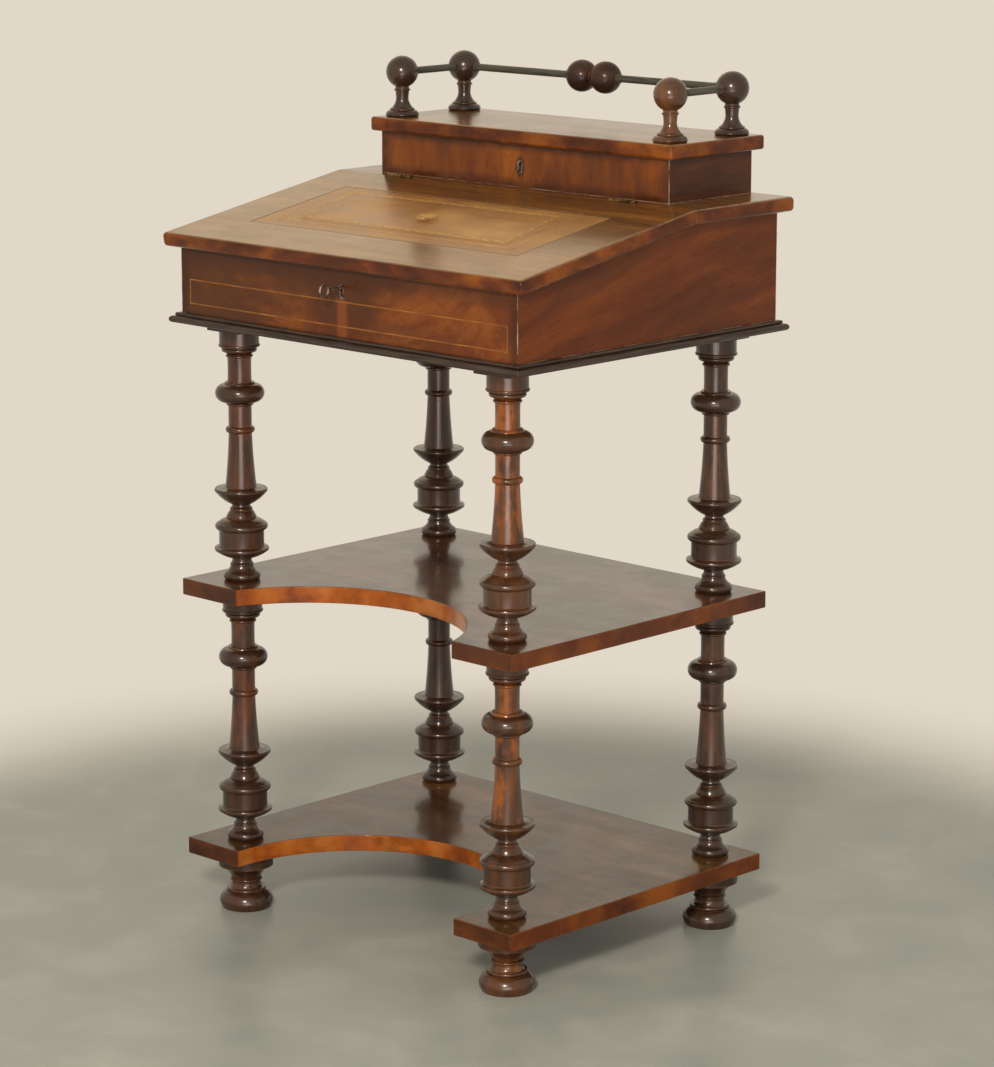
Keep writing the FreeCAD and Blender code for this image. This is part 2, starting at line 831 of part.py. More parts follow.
def lock_rooms(wall):
    """What a lock and its escutcheon take out of a wall whose face is at zero."""
    inside = (wall - s.lock_thickness, wall + SPARE)
    body_half = s.lock_half + s.fit_gap
    plate_half = s.lock_plate_half + s.fit_gap
    above = s.lock_drop + SPARE
    return fuse([
        block((-body_half, body_half), inside, (-s.lock_below - s.fit_gap, above)),
        block((-plate_half, plate_half), inside,
              (s.lock_drop - s.lock_plate_thickness - s.fit_gap, above)),
        key_opening(as_size(-SPARE), wall),
        keyhole_bar(as_size(-SPARE), s.escutcheon_depth, s.escutcheon_radius + s.fit_gap,
                    s.escutcheon_tail_half + s.fit_gap, s.escutcheon_tail + s.fit_gap),
    ])


# The next four are drawn with the front of the lock at zero.
lock_middle = s.lock_thickness / 2
bolt_span = (lock_middle - s.bolt_thickness / 2, lock_middle + s.bolt_thickness / 2)


def lock_case():
    """A lock: case, top plate, round room for the bit, way for the bolt, and drill pin."""
    skin = s.lock_skin
    case = block((-s.lock_half, s.lock_half), (0, s.lock_thickness), (-s.lock_below, s.lock_drop))
    plate = block((-s.lock_plate_half, s.lock_plate_half), (0, s.lock_thickness),
                  (s.lock_drop - s.lock_plate_thickness, s.lock_drop))
    way_half = s.bolt_half + s.bolt_play
    hollow = cut(fuse([case, plate]), [
        rod("y", (0, skin, 0), s.lock_thickness - skin * 2, s.lock_room_radius),
        block((-way_half, way_half), (bolt_span[0] - s.bolt_play, bolt_span[1] + s.bolt_play),
              (0, s.lock_drop + SPARE)),
        key_opening(as_size(-SPARE), lock_middle),
    ])
    return fuse([hollow, rod("y", (0, skin, 0), s.lock_thickness - skin * 2, s.drill_pin_radius)])


def bolt():
    """The bolt that the key lifts into the lid."""
    return block((-s.bolt_half, s.bolt_half), bolt_span, (s.bolt_rise, s.lock_drop - s.bolt_sunk))


def key():
    """A barrel key: hollow shank, bit hanging down, collar and ring bow."""
    shank = rod("-y", (0, s.key_tip, 0), s.key_tip + s.key_reach - s.bow_radius, s.key_radius)
    bit = block((-s.bit_thickness / 2, s.bit_thickness / 2), bolt_span, (-s.bit_reach, 0))
    collar = rod("-y", (0, -s.key_collar_reach, 0), s.key_collar_length, s.key_collar_radius)
    bow = doc.addObject("Part::Torus", "Bow")
    bind(bow, Radius1=s.bow_radius, Radius2=s.bow_wire)
    place(bow, 0, -s.key_reach, 0, TURNS["x"])
    bore = rod("-y", (0, s.key_tip + SPARE, 0), s.key_tip + SPARE, s.drill_pin_radius + s.fit_gap)
    return cut(fuse([shank, bit, collar, bow]), [bore])


def strike_slot(y, z, rise):
    """Room for the end of a bolt, upwards from the underside of a lid."""
    half = s.bolt_half + s.strike_play
    reach = s.bolt_thickness / 2 + s.strike_play
    return block((-half, half), (y - reach, y + reach), (z - SPARE, z + rise))


def strike_plate(y, z):
    """The slotted plate in the underside of a lid."""
    reach = s.strike_width / 2
    plate = block((-s.strike_half, s.strike_half), (y - reach, y + reach), (z, z + s.strike_thickness))
    return cut(plate, [strike_slot(y, z, SPARE)])


def strike_rooms(y, z):
    """What a strike plate and the end of a bolt take out of a lid."""
    reach = s.strike_width / 2
    plate = block((-s.strike_half, s.strike_half), (y - reach, y + reach),
                  (z - SPARE, z + s.strike_thickness))
    return [plate, strike_slot(y, z, s.strike_mortice)]


# ----------------------------------------------------------------------------------------- hinges
# Drawn with the pin along X through the origin and both leaves hanging down from it, the desk's
# leaf behind the pin and the lid's leaf in front of it.

HALF_HINGE = s.hinge_length / 2
HINGE_SCREWS = (-s.screw_x, s.screw_x)


def hinge_leaf(side):
    """A leaf with its knuckles; the desk's leaf has the outer ones."""
    pitch = s.hinge_length / KNUCKLES
    near = s.joint_gap / 2
    far = near + s.leaf_thickness
    plate = block((-HALF_HINGE, HALF_HINGE), (near, far) if side == BACK else (-far, -near),
                  (-s.leaf_height, 0))
    solids = [plate]
    rooms = [rod("x", (-HALF_HINGE - SPARE, 0, 0), s.hinge_length + SPARE * 2, s.pin_radius + s.fit_gap)]
    for number in range(KNUCKLES):
        start = -HALF_HINGE + pitch * number
        if (number % 2 == 0) == (side == BACK):
            solids.append(rod("x", (start + s.knuckle_play / 2, 0, 0), pitch - s.knuckle_play,
                              s.knuckle_radius))
        else:
            rooms.append(rod("x", (start, 0, 0), pitch, s.knuckle_radius + s.knuckle_play))
    for x in HINGE_SCREWS:
        rooms += screw_shape(side, x, s.fit_gap)
    return cut(fuse(solids), rooms)


def screw_shape(side, x, room):
    """Countersunk head and shank of a hinge screw, with room all round for its hole."""
    way = "y" if side == BACK else "-y"
    start = (x, side * s.joint_gap / 2, -s.screw_drop)
    return [
        rod(way, start, s.screw_head_depth, s.screw_head_radius + room, s.screw_radius + room),
        rod(way, start, s.screw_length + room, s.screw_radius + room),
    ]


def hinge_screw(side):
    """A screw with a slot across its head."""
    face = side * s.joint_gap / 2
    slot = block((-SPARE, SPARE), (face - s.screw_slot, face + s.screw_slot),
                 (-s.screw_drop - s.screw_slot / 2, -s.screw_drop + s.screw_slot / 2))
    return cut(fuse(screw_shape(side, 0, 0)), [slot])


def hinge_room(side):
    """What a leaf, the knuckles and the screws take out of the wood."""
    half = HALF_HINGE + s.fit_gap
    near = s.joint_gap / 2
    far = near + s.leaf_thickness
    across = (near - s.joint_gap, far) if side == BACK else (-far, s.joint_gap - near)
    rooms = [
        block((-half, half), across, (-s.leaf_height - s.fit_gap, 0)),
        rod("x", (-half, 0, 0), half * 2, s.knuckle_radius + s.knuckle_room),
    ]
    for x in HINGE_SCREWS:
        rooms += screw_shape(side, x, s.fit_gap)
    return fuse(rooms)


class HingeSide:
    """The leaf on one side of a hinge, its screw, and the room that both need in the wood."""

    def __init__(self, side):
        self.leaf = hinge_leaf(side)
        self.screw = hinge_screw(side)
        self.room = hinge_room(side)

    def leaves(self, spots, turn):
        return [again(self.leaf, *spot, turn=turn) for spot in spots]

    def screws(self, spots, turn):
        return [again(self.screw, x + along, y, z, turn) for x, y, z in spots for along in HINGE_SCREWS]

    def rooms(self, spots, turn):
        return [again(self.room, *spot, turn=turn) for spot in spots]


LID_HINGES = [(hand * s.lid_hinge_x, joint_y - s.joint_gap / 2, top_high + s.hinge_lift)
              for hand in (LEFT, RIGHT)]
BOX_HINGES = [(hand * s.box_hinge_x, box_back + s.hinge_standoff, box_top + s.joint_gap / 2)
              for hand in (LEFT, RIGHT)]

# ------------------------------------------------------------------------------- case and its lid

lid_key_z = rim(case_front) - s.lock_drop
box_key_z = box_top - s.lock_drop
lid_lock_y = case_front + s.front_wall - s.lock_thickness
box_lock_y = box_front + s.box_front_wall - s.lock_thickness


def stringing():
    """The boxwood rectangle let into the front."""
    low = case_foot + s.stringing_low
    high = low + s.stringing_rise
    line = s.stringing_line
    body = new_body(y=case_front + s.stringing_depth)
    pad(body, "XZ", rectangle((-s.stringing_half, s.stringing_half), (low, high)), s.stringing_depth)
    pocket(body, "XZ", rectangle((-s.stringing_half + line, s.stringing_half - line),
                                 (low + line, high - line)), s.stringing_depth * 4)
    return body


def build_case():
    """Base board and its mouldings, walls, and the stringing in the front."""
    base = block((-case_half, case_half), (case_front, case_back), (base_foot, case_foot))
    tenon_holes = [rod("z", (x, y, base_foot - SPARE), s.board_tenon + s.tenon_end_gap + SPARE,
                       s.tenon_radius + s.fit_gap) for x, y in COLUMN_PLACES.values()]
    node("base_board", cut(base, tenon_holes))
    middle = case_front + s.case_depth / 2
    node("base_moulding_front", moulding(s.case_width, as_size(0), case_front, 0))
    node("base_moulding_right", moulding(s.case_depth, case_half, middle, 90))
    node("base_moulding_back", moulding(s.case_width, as_size(0), case_back, 180))
    node("base_moulding_left", moulding(s.case_depth, -case_half, middle, 270))

    line = node("front_stringing", stringing())
    inside = case_front + s.front_wall
    front = front_piece(case_half, case_front, s.front_wall, s.side_wall, [
        (case_front, case_foot), (inside, case_foot), (inside, rim(inside)), (case_front, rim(case_front))])
    node("front_panel", cut(front, [place(lock_rooms(s.front_wall), 0, case_front, lid_key_z), line]))
    profile = [(case_front, case_foot), (case_back, case_foot), (case_back, top_foot),
               (joint_y, top_foot), (joint_y, rim(joint_y)), (case_front, rim(case_front))]
    for hand, name in ((LEFT, "left"), (RIGHT, "right")):
        node(f"{name}_side", side_piece(hand, case_half, case_front, s.front_wall, s.side_wall, profile))
    inner = case_half - s.side_wall
    node("back_panel", block((-inner, inner), (case_back - s.back_wall, case_back), (case_foot, top_foot)))


def build_flat_top():
    """The fixed board behind the joint."""
    body = new_body(y=joint_y, z=top_foot)
    board = pad(body, "XY", rectangle((-top_half, top_half), (0, s.flat_top_depth)), s.top_thickness)
    round_edges(body, board, s.top_rounding, reaches_past(s.flat_top_depth))
    return body


def build_writing_lid():
    """The sloping lid with its leather and the plate that the bolt catches."""
    length = (joint_y - lid_front) / cosine
    back_edge = -s.joint_gap / cosine
    body = tilt_with_lid(doc.addObject("PartDesign::Body", "Body"))
    board = pad(body, "YZ", [
        (-length, -s.top_thickness), (back_edge - s.top_thickness * tangent, -s.top_thickness),
        (back_edge, 0), (-length, 0)], top_half * 2, 2)
    round_edges(body, board, s.top_rounding, reaches_past(length))

    half = s.leather_width / 2
    front = -s.leather_back_margin - s.leather_length
    recess = block((-half, half), (front, -s.leather_back_margin), (-s.leather_recess, SPARE))
    gap = s.leather_gap
    leather = block((-half + gap, half - gap), (front + gap, -s.leather_back_margin - gap),
                    (-s.leather_recess, -s.leather_recess + s.leather_thickness))
    bolt_y = lid_lock_y + lock_middle
    strike_y = (bolt_y - joint_y) / cosine - s.top_thickness * tangent
    strike = strike_plate(strike_y, -s.top_thickness)
    rooms = tilt_with_lid(fuse([recess] + strike_rooms(strike_y, -s.top_thickness)))
    return body, rooms, tilt_with_lid(group([leather])), tilt_with_lid(strike)


# ---------------------------------------------------------------------- stationery box and gallery


def build_box():
    """The walls of the stationery box; the back one carries the hinges."""
    inside = box_front + s.box_front_wall
    front = front_piece(box_half, box_front, s.box_front_wall, s.box_wall, rectangle(
        (box_front, inside), (top_high, box_top)))
    node("stationery_front", cut(front, [place(lock_rooms(s.box_front_wall), 0, box_front, box_key_z)]))
    profile = rectangle((box_front, box_back), (top_high, box_top))
    for hand, name in ((LEFT, "left"), (RIGHT, "right")):
        node(f"stationery_{name}",
             side_piece(hand, box_half, box_front, s.box_front_wall, s.box_wall, profile))
    inner = box_half - s.box_wall
    return block((-inner, inner), (box_back - s.box_wall, box_back), (top_high, box_top))


slab_front = box_front - s.slab_front_overhang
slab_back = box_back + s.slab_back_overhang
POST_PLACES = {
    "front_left": (-post_x, slab_front + s.post_front_inset),
    "front_right": (post_x, slab_front + s.post_front_inset),
    "back_left": (-post_x, slab_back - s.post_back_inset),
    "back_right": (post_x, slab_back - s.post_back_inset),
}
front_post_y = POST_PLACES["front_left"][1]
back_post_y = POST_PLACES["back_left"][1]


def slab():
    """The board of the stationery lid."""
    body = new_body(z=slab_foot)
    board = pad(body, "XY", rectangle((-slab_half, slab_half), (slab_front, slab_back)), s.top_thickness)
    round_edges(body, board, s.slab_rounding)
    return body


def rail_socket(way, centre, radius, direction):
    """A hole for a rail's tenon, from outside a ball towards its centre."""
    bottom = radius - s.rail_tenon_hold - s.tenon_end_gap
    start = bottom if direction > 0 else -radius - SPARE
    length = radius + SPARE - bottom
    x, y = centre
    spot = (x + start, y, ball_z) if way == "x" else (x, y + start, ball_z)
    return rod(way, spot, length, s.rail_tenon_radius + s.fit_gap)


def rail(way, fixed, start, end):
    """A plain rail with a collar and a tenon at each end, between two balls."""

    def spot(along):
        return (along, fixed, ball_z) if way == "x" else (fixed, along, ball_z)

    hold = s.rail_tenon_hold
    return fuse([
        rod(way, spot(start), end - start, s.rail_radius),
        rod(way, spot(start), s.rail_collar_length, s.rail_collar_radius),
        rod(way, spot(end - s.rail_collar_length), s.rail_collar_length, s.rail_collar_radius),
        rod(way, spot(start - hold), end - start + hold * 2, s.rail_tenon_radius),
    ])


def post():
    """A gallery post with its ball and the tenon that holds it in the lid."""
    neck = s.post_neck_top_radius
    ball = s.ball_radius
    turning = Turning((0, -s.post_tenon_hold), (s.post_tenon_radius, -s.post_tenon_hold),
                      (s.post_tenon_radius, 0), (s.post_foot_radius, 0))
    turning.rise(s.post_base_low_height, s.post_base_radius, SWELLING)
    turning.rise(s.post_base_high_height, s.post_base_top_radius, SWELLING)
    turning.step(s.post_step_radius)
    turning.swell(s.post_step_height, s.post_step_radius + s.post_step_height / 4)
    turning.step(s.post_flare_radius)
    turning.rise(s.post_flare_height, s.post_neck_radius, HOLLOW)
    ring_foot = s.ball_rise - s.post_ring_drop - s.post_ring_height / 2
    turning.rise(ring_foot - turning.points[-1][1], neck, FLAT_HOLLOW)
    turning.swell(s.post_ring_height, s.post_ring_radius)
    drop = root(ball * ball - neck * neck)
    turning.rise(s.ball_rise - drop - turning.points[-1][1])
    half_span = root(neck * neck + (ball + drop) * (ball + drop)) / 2
    curve = (ball - root(ball * ball - half_span * half_span)) / half_span
    turning.rise(ball + drop, 0, curve)
    return turn_on_lathe(turning)


def build_gallery():
    """Posts, rails and the pair of balls in the middle of the back rail."""
    turned = post()
    for corner, (x, y) in POST_PLACES.items():
        sockets = [rail_socket("y", (x, y), s.ball_radius, 1 if "front" in corner else -1)]
        if "back" in corner:
            sockets.append(rail_socket("x", (x, y), s.ball_radius, 1 if "left" in corner else -1))
        node(f"gallery_post_{corner}", cut(again(turned, x, y, slab_top), sockets))
    clear = s.ball_radius + s.fit_gap
    node("gallery_side_rails", group([
        rail("y", hand * post_x, front_post_y + clear, back_post_y - clear)
        for hand in (LEFT, RIGHT)]))
    middle = s.twin_spacing / 2
    twin_end = middle + s.twin_radius + s.fit_gap
    node("gallery_back_rails", group([
        rail("x", back_post_y, -post_x + clear, -twin_end),
        rail("x", back_post_y, twin_end, post_x - clear)]))
    balls = [sphere((hand * middle, back_post_y, ball_z), s.twin_radius) for hand in (LEFT, RIGHT)]
    neck = rod("x", (-middle, back_post_y, ball_z), s.twin_spacing, s.twin_neck_radius)
    node("gallery_twin_ball", cut(fuse(balls + [neck]), [
        rail_socket("x", (hand * middle, back_post_y), s.twin_radius, hand) for hand in (LEFT, RIGHT)]))


# ------------------------------------------------------------------------------- lids and hinges


def build_lids():
    """Everything that the two pairs of hinges join."""
    fixed = HingeSide(BACK)
    moving = HingeSide(FRONT)

    node("top_board", cut(build_flat_top(), fixed.rooms(LID_HINGES, UPRIGHT)))
    node("stationery_back", cut(build_box(), fixed.rooms(BOX_HINGES, LAID_BACK)))
    board, rooms, leather, strike = build_writing_lid()
    node("writing_lid_board", cut(board, [rooms] + moving.rooms(LID_HINGES, UPRIGHT)))
    node("writing_leather", leather)
    node("front_lock_strike", strike)
    strike_y = box_lock_y + lock_middle
    post_holes = [rod("z", (x, y, slab_top - s.post_tenon_hold - s.tenon_end_gap), SPARE * 2,
                      s.post_tenon_radius + s.fit_gap) for x, y in POST_PLACES.values()]
    node("stationery_lid_board", cut(slab(), post_holes + strike_rooms(strike_y, slab_foot)
                                     + moving.rooms(BOX_HINGES, LAID_BACK)))
    node("stationery_lock_strike", strike_plate(strike_y, slab_foot))

    node("hinge_leaves_desk", group(fixed.leaves(LID_HINGES, UPRIGHT) + fixed.leaves(BOX_HINGES, LAID_BACK)))
    node("hinge_leaves_writing_lid", group(moving.leaves(LID_HINGES, UPRIGHT)))
    node("hinge_leaves_stationery_lid", group(moving.leaves(BOX_HINGES, LAID_BACK)))
    node("screws_desk", group(fixed.screws(LID_HINGES, UPRIGHT) + fixed.screws(BOX_HINGES, LAID_BACK)))
    node("screws_writing_lid", group(moving.screws(LID_HINGES, UPRIGHT)))
    node("screws_stationery_lid", group(moving.screws(BOX_HINGES, LAID_BACK)))
    node("hinge_pins", group([rod("x", (x - HALF_HINGE, y, z), s.hinge_length, s.pin_radius)
                              for x, y, z in LID_HINGES + BOX_HINGES]))


# ------------------------------------------------------------------------------------------ locks


def build_locks():
    """Both locks with their bolts and escutcheons, and the one key."""
    case = lock_case()
    lifted = bolt()
    lining = escutcheon()
    node("lock_cases", group([again(case, 0, lid_lock_y, lid_key_z), again(case, 0, box_lock_y, box_key_z)]))
    node("front_lock_bolt", again(lifted, 0, lid_lock_y, lid_key_z))
    node("stationery_lock_bolt", again(lifted, 0, box_lock_y, box_key_z))
    node("keyhole_escutcheons", group([again(lining, 0, case_front, lid_key_z),
                                       again(lining, 0, box_front, box_key_z)]))
    node("key", place(key(), 0, lid_lock_y, lid_key_z))


# ------------------------------------------------------------------------------ fittings inside


def knob():
    """A turned knob with its tenon in the drawer's front."""
    tenon = s.drawer_front - s.tenon_end_gap
    dome = (s.knob_length - s.knob_neck_length) / 2
    turning = Turning((0, -tenon), (s.knob_tenon_radius, -tenon), (s.knob_tenon_radius, 0),
                      (s.knob_neck_radius, 0))
    turning.rise(s.knob_neck_length, curve=HOLLOW)
    turning.rise(dome, s.knob_radius, SWELLING)
    turning.rise(dome, s.knob_face_radius, SWELLING)
    turning.step(0)
    return turn_on_lathe(turning)


def drawer(hand, front, pull):
    """A small open drawer between a divider and a side of the case, and its knob."""
    low = case_foot + s.drawer_gap
    high = case_foot + s.drawer_room_height - s.drawer_gap
    near = s.divider_x + s.divider_thickness / 2 + s.drawer_gap
    far = case_half - s.side_wall - s.drawer_gap
    back = front + s.drawer_length
    wall = s.drawer_wall

    def across(inner, outer):
        return (inner, outer) if hand == RIGHT else (-outer, -inner)

    middle = hand * (near + far) / 2
    knob_z = (low + high) / 2
    tray = cut(block(across(near, far), (front, back), (low, high)), [
        block(across(near + wall, far - wall), (front + s.drawer_front, back - wall),
              (low + s.drawer_bottom, high + SPARE)),
        rod("y", (middle, front - SPARE, knob_z), SPARE + s.drawer_front,
            s.knob_tenon_radius + s.fit_gap)])
    return tray, again(pull, middle, front, knob_z, TURNS["-y"])


def build_fittings():
    """Shelf, dividers and two drawers under the flat top."""
    front = joint_y + s.fitting_setback
    depth = (front, case_back - s.back_wall)
    inner = case_half - s.side_wall
    shelf_foot = case_foot + s.drawer_room_height
    node("interior_shelf", block((-inner, inner), depth,
                                 (shelf_foot, shelf_foot + s.fitting_shelf_thickness)))
    reach = s.divider_thickness / 2
    node("drawer_dividers", group([
        block((hand * s.divider_x - reach, hand * s.divider_x + reach), depth, (case_foot, shelf_foot))
        for hand in (LEFT, RIGHT)]))
    turned = knob()
    for hand, name in ((LEFT, "left"), (RIGHT, "right")):
        tray, pull = drawer(hand, front, turned)
        node(f"drawer_{name}", tray)
        node(f"drawer_knob_{name}", pull)


# --------------------------------------------------------------------------------- all of it


def check_and_write():
    """Refuses a broken model, then writes each node to its own file."""
    doc.recompute()
    failed = [item.Label for item in doc.Objects if {"Invalid", "Error"} & set(item.State)]
    if failed:
        raise RuntimeError(f"objects that failed: {failed}")
    for item in nodes:
        if item.Shape.isNull() or not item.Shape.isValid() or not item.Shape.Solids:
            raise RuntimeError(f"no valid solid in {item.Label}")
    os.makedirs("parts", exist_ok=True)
    for item in nodes:
        item.Shape.exportStep(os.path.join("parts", f"{item.Label}.step"))


build_stand()
build_case()
build_lids()
build_gallery()
build_locks()
build_fittings()
check_and_write()
print(f"{len(nodes)} nodes written")
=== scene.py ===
from math import atan2, cos, radians, sin

import bpy
from mathutils import Matrix, Vector


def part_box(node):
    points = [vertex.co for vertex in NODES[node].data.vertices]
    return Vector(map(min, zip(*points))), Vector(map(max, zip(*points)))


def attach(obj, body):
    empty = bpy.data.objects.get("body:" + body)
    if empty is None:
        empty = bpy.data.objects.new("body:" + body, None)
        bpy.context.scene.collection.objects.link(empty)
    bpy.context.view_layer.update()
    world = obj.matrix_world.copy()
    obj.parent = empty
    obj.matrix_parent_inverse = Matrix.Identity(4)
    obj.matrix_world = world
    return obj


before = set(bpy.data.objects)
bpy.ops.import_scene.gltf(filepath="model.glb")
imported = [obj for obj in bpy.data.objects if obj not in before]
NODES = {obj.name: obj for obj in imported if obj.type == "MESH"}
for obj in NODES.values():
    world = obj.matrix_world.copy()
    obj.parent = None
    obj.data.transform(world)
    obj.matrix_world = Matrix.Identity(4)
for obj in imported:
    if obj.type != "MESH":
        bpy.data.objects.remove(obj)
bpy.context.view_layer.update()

MM = 0.001
HINGE_LINE = (0.0, 0.06545, 0.8702)
LID_FRONT = (0.0, -0.21985, 0.8045)
LID_SLOPE = atan2(HINGE_LINE[2] - LID_FRONT[2], HINGE_LINE[1] - LID_FRONT[1])
SKIVER_MIDDLE = -0.136  # down the slope from the hinge line
SKIVER_HALVES = (0.2157, 0.0797)  # half its width and half its depth
INNER_FILLET = (0.332, 0.094)  # width and depth of the frame that the inner gilt line makes
SHELF_LOW, SHELF_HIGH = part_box("bottom_shelf")
SHELF_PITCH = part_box("middle_shelf")[1].z - SHELF_HIGH.z
HOLLOW_HALF = 0.19  # half the width of the hollow in a shelf's front
HOLLOW_END = 0.12  # a place behind both hollows and in front of the shelves' straight back edges
CUP_RISE = 0.1  # from a shelf's top to the cup that a column's shaft stands in
COLUMN_RIM = 32 * MM
BALL_RIM = 19.5 * MM
UNDER_KEYHOLE = 0.772  # a height on the front panel
BOX_KEYHOLE = 0.8935  # the height of the stationery box's keyhole
CREAM_WALL = "#e6dccb"
CREAM_GLOW = 0.96
GILT_THICKNESS = 0.12 * MM
SMOOTH = {"interpolation_type": "SMOOTHSTEP"}


def linear(code):
    """The linear RGBA of an sRGB hex colour."""
    parts = [int(code[i:i + 2], 16) / 255 for i in (1, 3, 5)]
    return tuple(c / 12.92 if c <= 0.04045 else ((c + 0.055) / 1.055) ** 2.4 for c in parts) + (1.0,)


def add(tree, kind, feeds=None, stops=None, **settings):
    """Adds a node with its settings, then feeds its inputs with values or sockets. feeds names them,
    or is a tuple in their order."""
    node = tree.nodes.new(kind)
    for name, value in settings.items():
        setattr(node, name, value)
    if stops:
        ramp = node.color_ramp
        while len(ramp.elements) < len(stops):
            ramp.elements.new(1.0)
        for element, (position, code) in zip(ramp.elements, stops):
            element.position = position
            element.color = linear(code)
    if isinstance(feeds, tuple):
        feeds = dict(enumerate(feeds))
    for name, value in (feeds or {}).items():
        if isinstance(name, int):
            socket = node.inputs[name]
        else:
            socket = next(i for i in node.inputs if i.name == name and i.enabled)
        if isinstance(value, bpy.types.Node):
            value = next(o for o in value.outputs if o.enabled)
        if isinstance(value, bpy.types.NodeSocket):
            tree.links.new(value, socket)
        else:
            socket.default_value = value
    return node


# ---------------------------------------------------------------- patterns that finishes share

def start_finish(name):
    """A new material with its tree, its shader and the place of each point in metres."""
    material = bpy.data.materials.new(name)
    material.use_nodes = True
    tree = material.node_tree
    shader = tree.nodes["Principled BSDF"]
    place = add(tree, "ShaderNodeTexCoord").outputs["Object"]
    return material, tree, shader, place


def veins(tree, place, lengths, centre=(0, 0, 0), tilt=(0, 0, 0), detail=4.0, sway=0.0):
    """Noise drawn out along the grain. lengths are one vein's size along x, y and z."""
    laid = add(tree, "ShaderNodeMapping",
               {"Vector": place, "Location": centre, "Rotation": tilt, "Scale": lengths},
               vector_type="TEXTURE")
    return add(tree, "ShaderNodeTexNoise",
               {"Vector": laid, "Scale": 1.0, "Detail": detail, "Roughness": 0.6, "Distortion": sway}
               ).outputs["Fac"]


def tinted(tree, colour, mask, strength, code):
    """Lays a colour on where mask is 1, at this strength."""
    factor = add(tree, "ShaderNodeMath", (mask, strength), operation="MULTIPLY")
    return add(tree, "ShaderNodeMix", {"Factor": factor, "A": colour, "B": linear(code)}, data_type="RGBA")


def wire(tree, source, socket):
    """Joins a node's first live output, or a socket, to an input."""
    if isinstance(source, bpy.types.Node):
        source = next(o for o in source.outputs if o.enabled)
    tree.links.new(source, socket)


def rubbed_edges(tree, place, width):
    """1 on the sharp edges that hands and cloths rub, 0 on flats, broken up along the edge."""
    soft = add(tree, "ShaderNodeBevel", {"Radius": width}, samples=6)
    facing = add(tree, "ShaderNodeNewGeometry").outputs["Normal"]
    agreement = add(tree, "ShaderNodeVectorMath", (soft, facing), operation="DOT_PRODUCT")
    sharp = add(tree, "ShaderNodeMapRange", (agreement.outputs["Value"], 0.995, 0.86), **SMOOTH)
    wavy = veins(tree, place, (0.02, 0.02, 0.02), detail=5.0)
    broken = add(tree, "ShaderNodeMapRange", (wavy, 0.36, 0.62), **SMOOTH)
    return add(tree, "ShaderNodeMath", (sharp, broken), operation="MULTIPLY")


def hollow_shade_and_dirt(tree, reach):
    """1 in the corners and grooves, as painted shade and where wax and dirt gather; 0 in the open."""
    open_sky = add(tree, "ShaderNodeAmbientOcclusion", {"Distance": reach}, samples=6, only_local=True)
    return add(tree, "ShaderNodeMapRange", (open_sky.outputs["AO"], 0.75, 0.35), **SMOOTH)


def polish(tree, shader, place, colour, height, relief, dull=0.18, coat=1.0):
    """French polish: a clear, hand-rubbed shellac film with faint smears over the coloured wood."""
    smears = veins(tree, place, (0.05, 0.05, 0.05), detail=5.0)
    bump = add(tree, "ShaderNodeBump", {"Height": height, "Strength": 0.5, "Distance": relief})
    rough = add(tree, "ShaderNodeMapRange", (smears, 0.3, 0.7, dull + 0.14, dull + 0.3), **SMOOTH)
    wire(tree, colour, shader.inputs["Base Color"])
    wire(tree, rough, shader.inputs["Roughness"])
    wire(tree, bump, shader.inputs["Normal"])
    shader.inputs["IOR"].default_value = 1.45
    shader.inputs["Specular IOR Level"].default_value = 0.12
    shader.inputs["Coat Weight"].default_value = coat
    shader.inputs["Coat Roughness"].default_value = dull
    shader.inputs["Coat IOR"].default_value = 1.5


def grown(tree, place, shades, vein, centre=(0, 0, 0), tilt=(0, 0, 0), sway=0.6):
    """Walnut's figure: dark, middle and pale growth over a slow drift. Returns colour and height."""
    along = tuple(3 * v for v in vein)
    slow = veins(tree, place, along, centre, tilt, 2.0, sway)
    quick = veins(tree, place, vein, centre, tilt, 5.0, sway)
    drift = add(tree, "ShaderNodeMath", (slow, 0.55), operation="MULTIPLY")
    growth = add(tree, "ShaderNodeMath", (quick, 0.45), operation="MULTIPLY")
    total = add(tree, "ShaderNodeMath", (drift, growth), operation="ADD")
    dark, middle, pale = shades
    colour = add(tree, "ShaderNodeValToRGB", {"Fac": total},
                 stops=((0.36, dark), (0.5, middle), (0.64, pale)))
    return colour, total


# Walnut's pores are 0.2 mm wide, and drawn 0.8 mm wide and 14 mm long so that they show.
PORE_WIDTH = 0.8 * MM
PORE_LENGTH = 14 * MM


def pored(tree, place, colour, axis, strength, dark="#8a7468", tilt=(0, 0, 0)):
    """Darkens a colour in short pores along one axis."""
    lengths = [PORE_WIDTH] * 3
    lengths[axis] = PORE_LENGTH
    noise = veins(tree, place, tuple(lengths), tilt=tilt, detail=1.0)
    closed = add(tree, "ShaderNodeMapRange", (noise, 0.36, 0.46), **SMOOTH)
    shade = add(tree, "ShaderNodeMix", {"Factor": closed, "A": linear(dark), "B": linear("#ffffff")},
                data_type="RGBA")
    return add(tree, "ShaderNodeMix", {"Factor": strength, "A": colour, "B": shade}, data_type="RGBA",
               blend_type="MULTIPLY")


def face_up(tree):
    """1 on faces that look up or down in the piece's own frame, 0 on upright ones."""
    facing = add(tree, "ShaderNodeTexCoord").outputs["Normal"]
    up = add(tree, "ShaderNodeSeparateXYZ", {"Vector": facing}).outputs["Z"]
    level = add(tree, "ShaderNodeMath", (up,), operation="ABSOLUTE")
    return add(tree, "ShaderNodeMapRange", (level, 0.6, 0.85), **SMOOTH)


# ---------------------------------------------------------------- the finishes

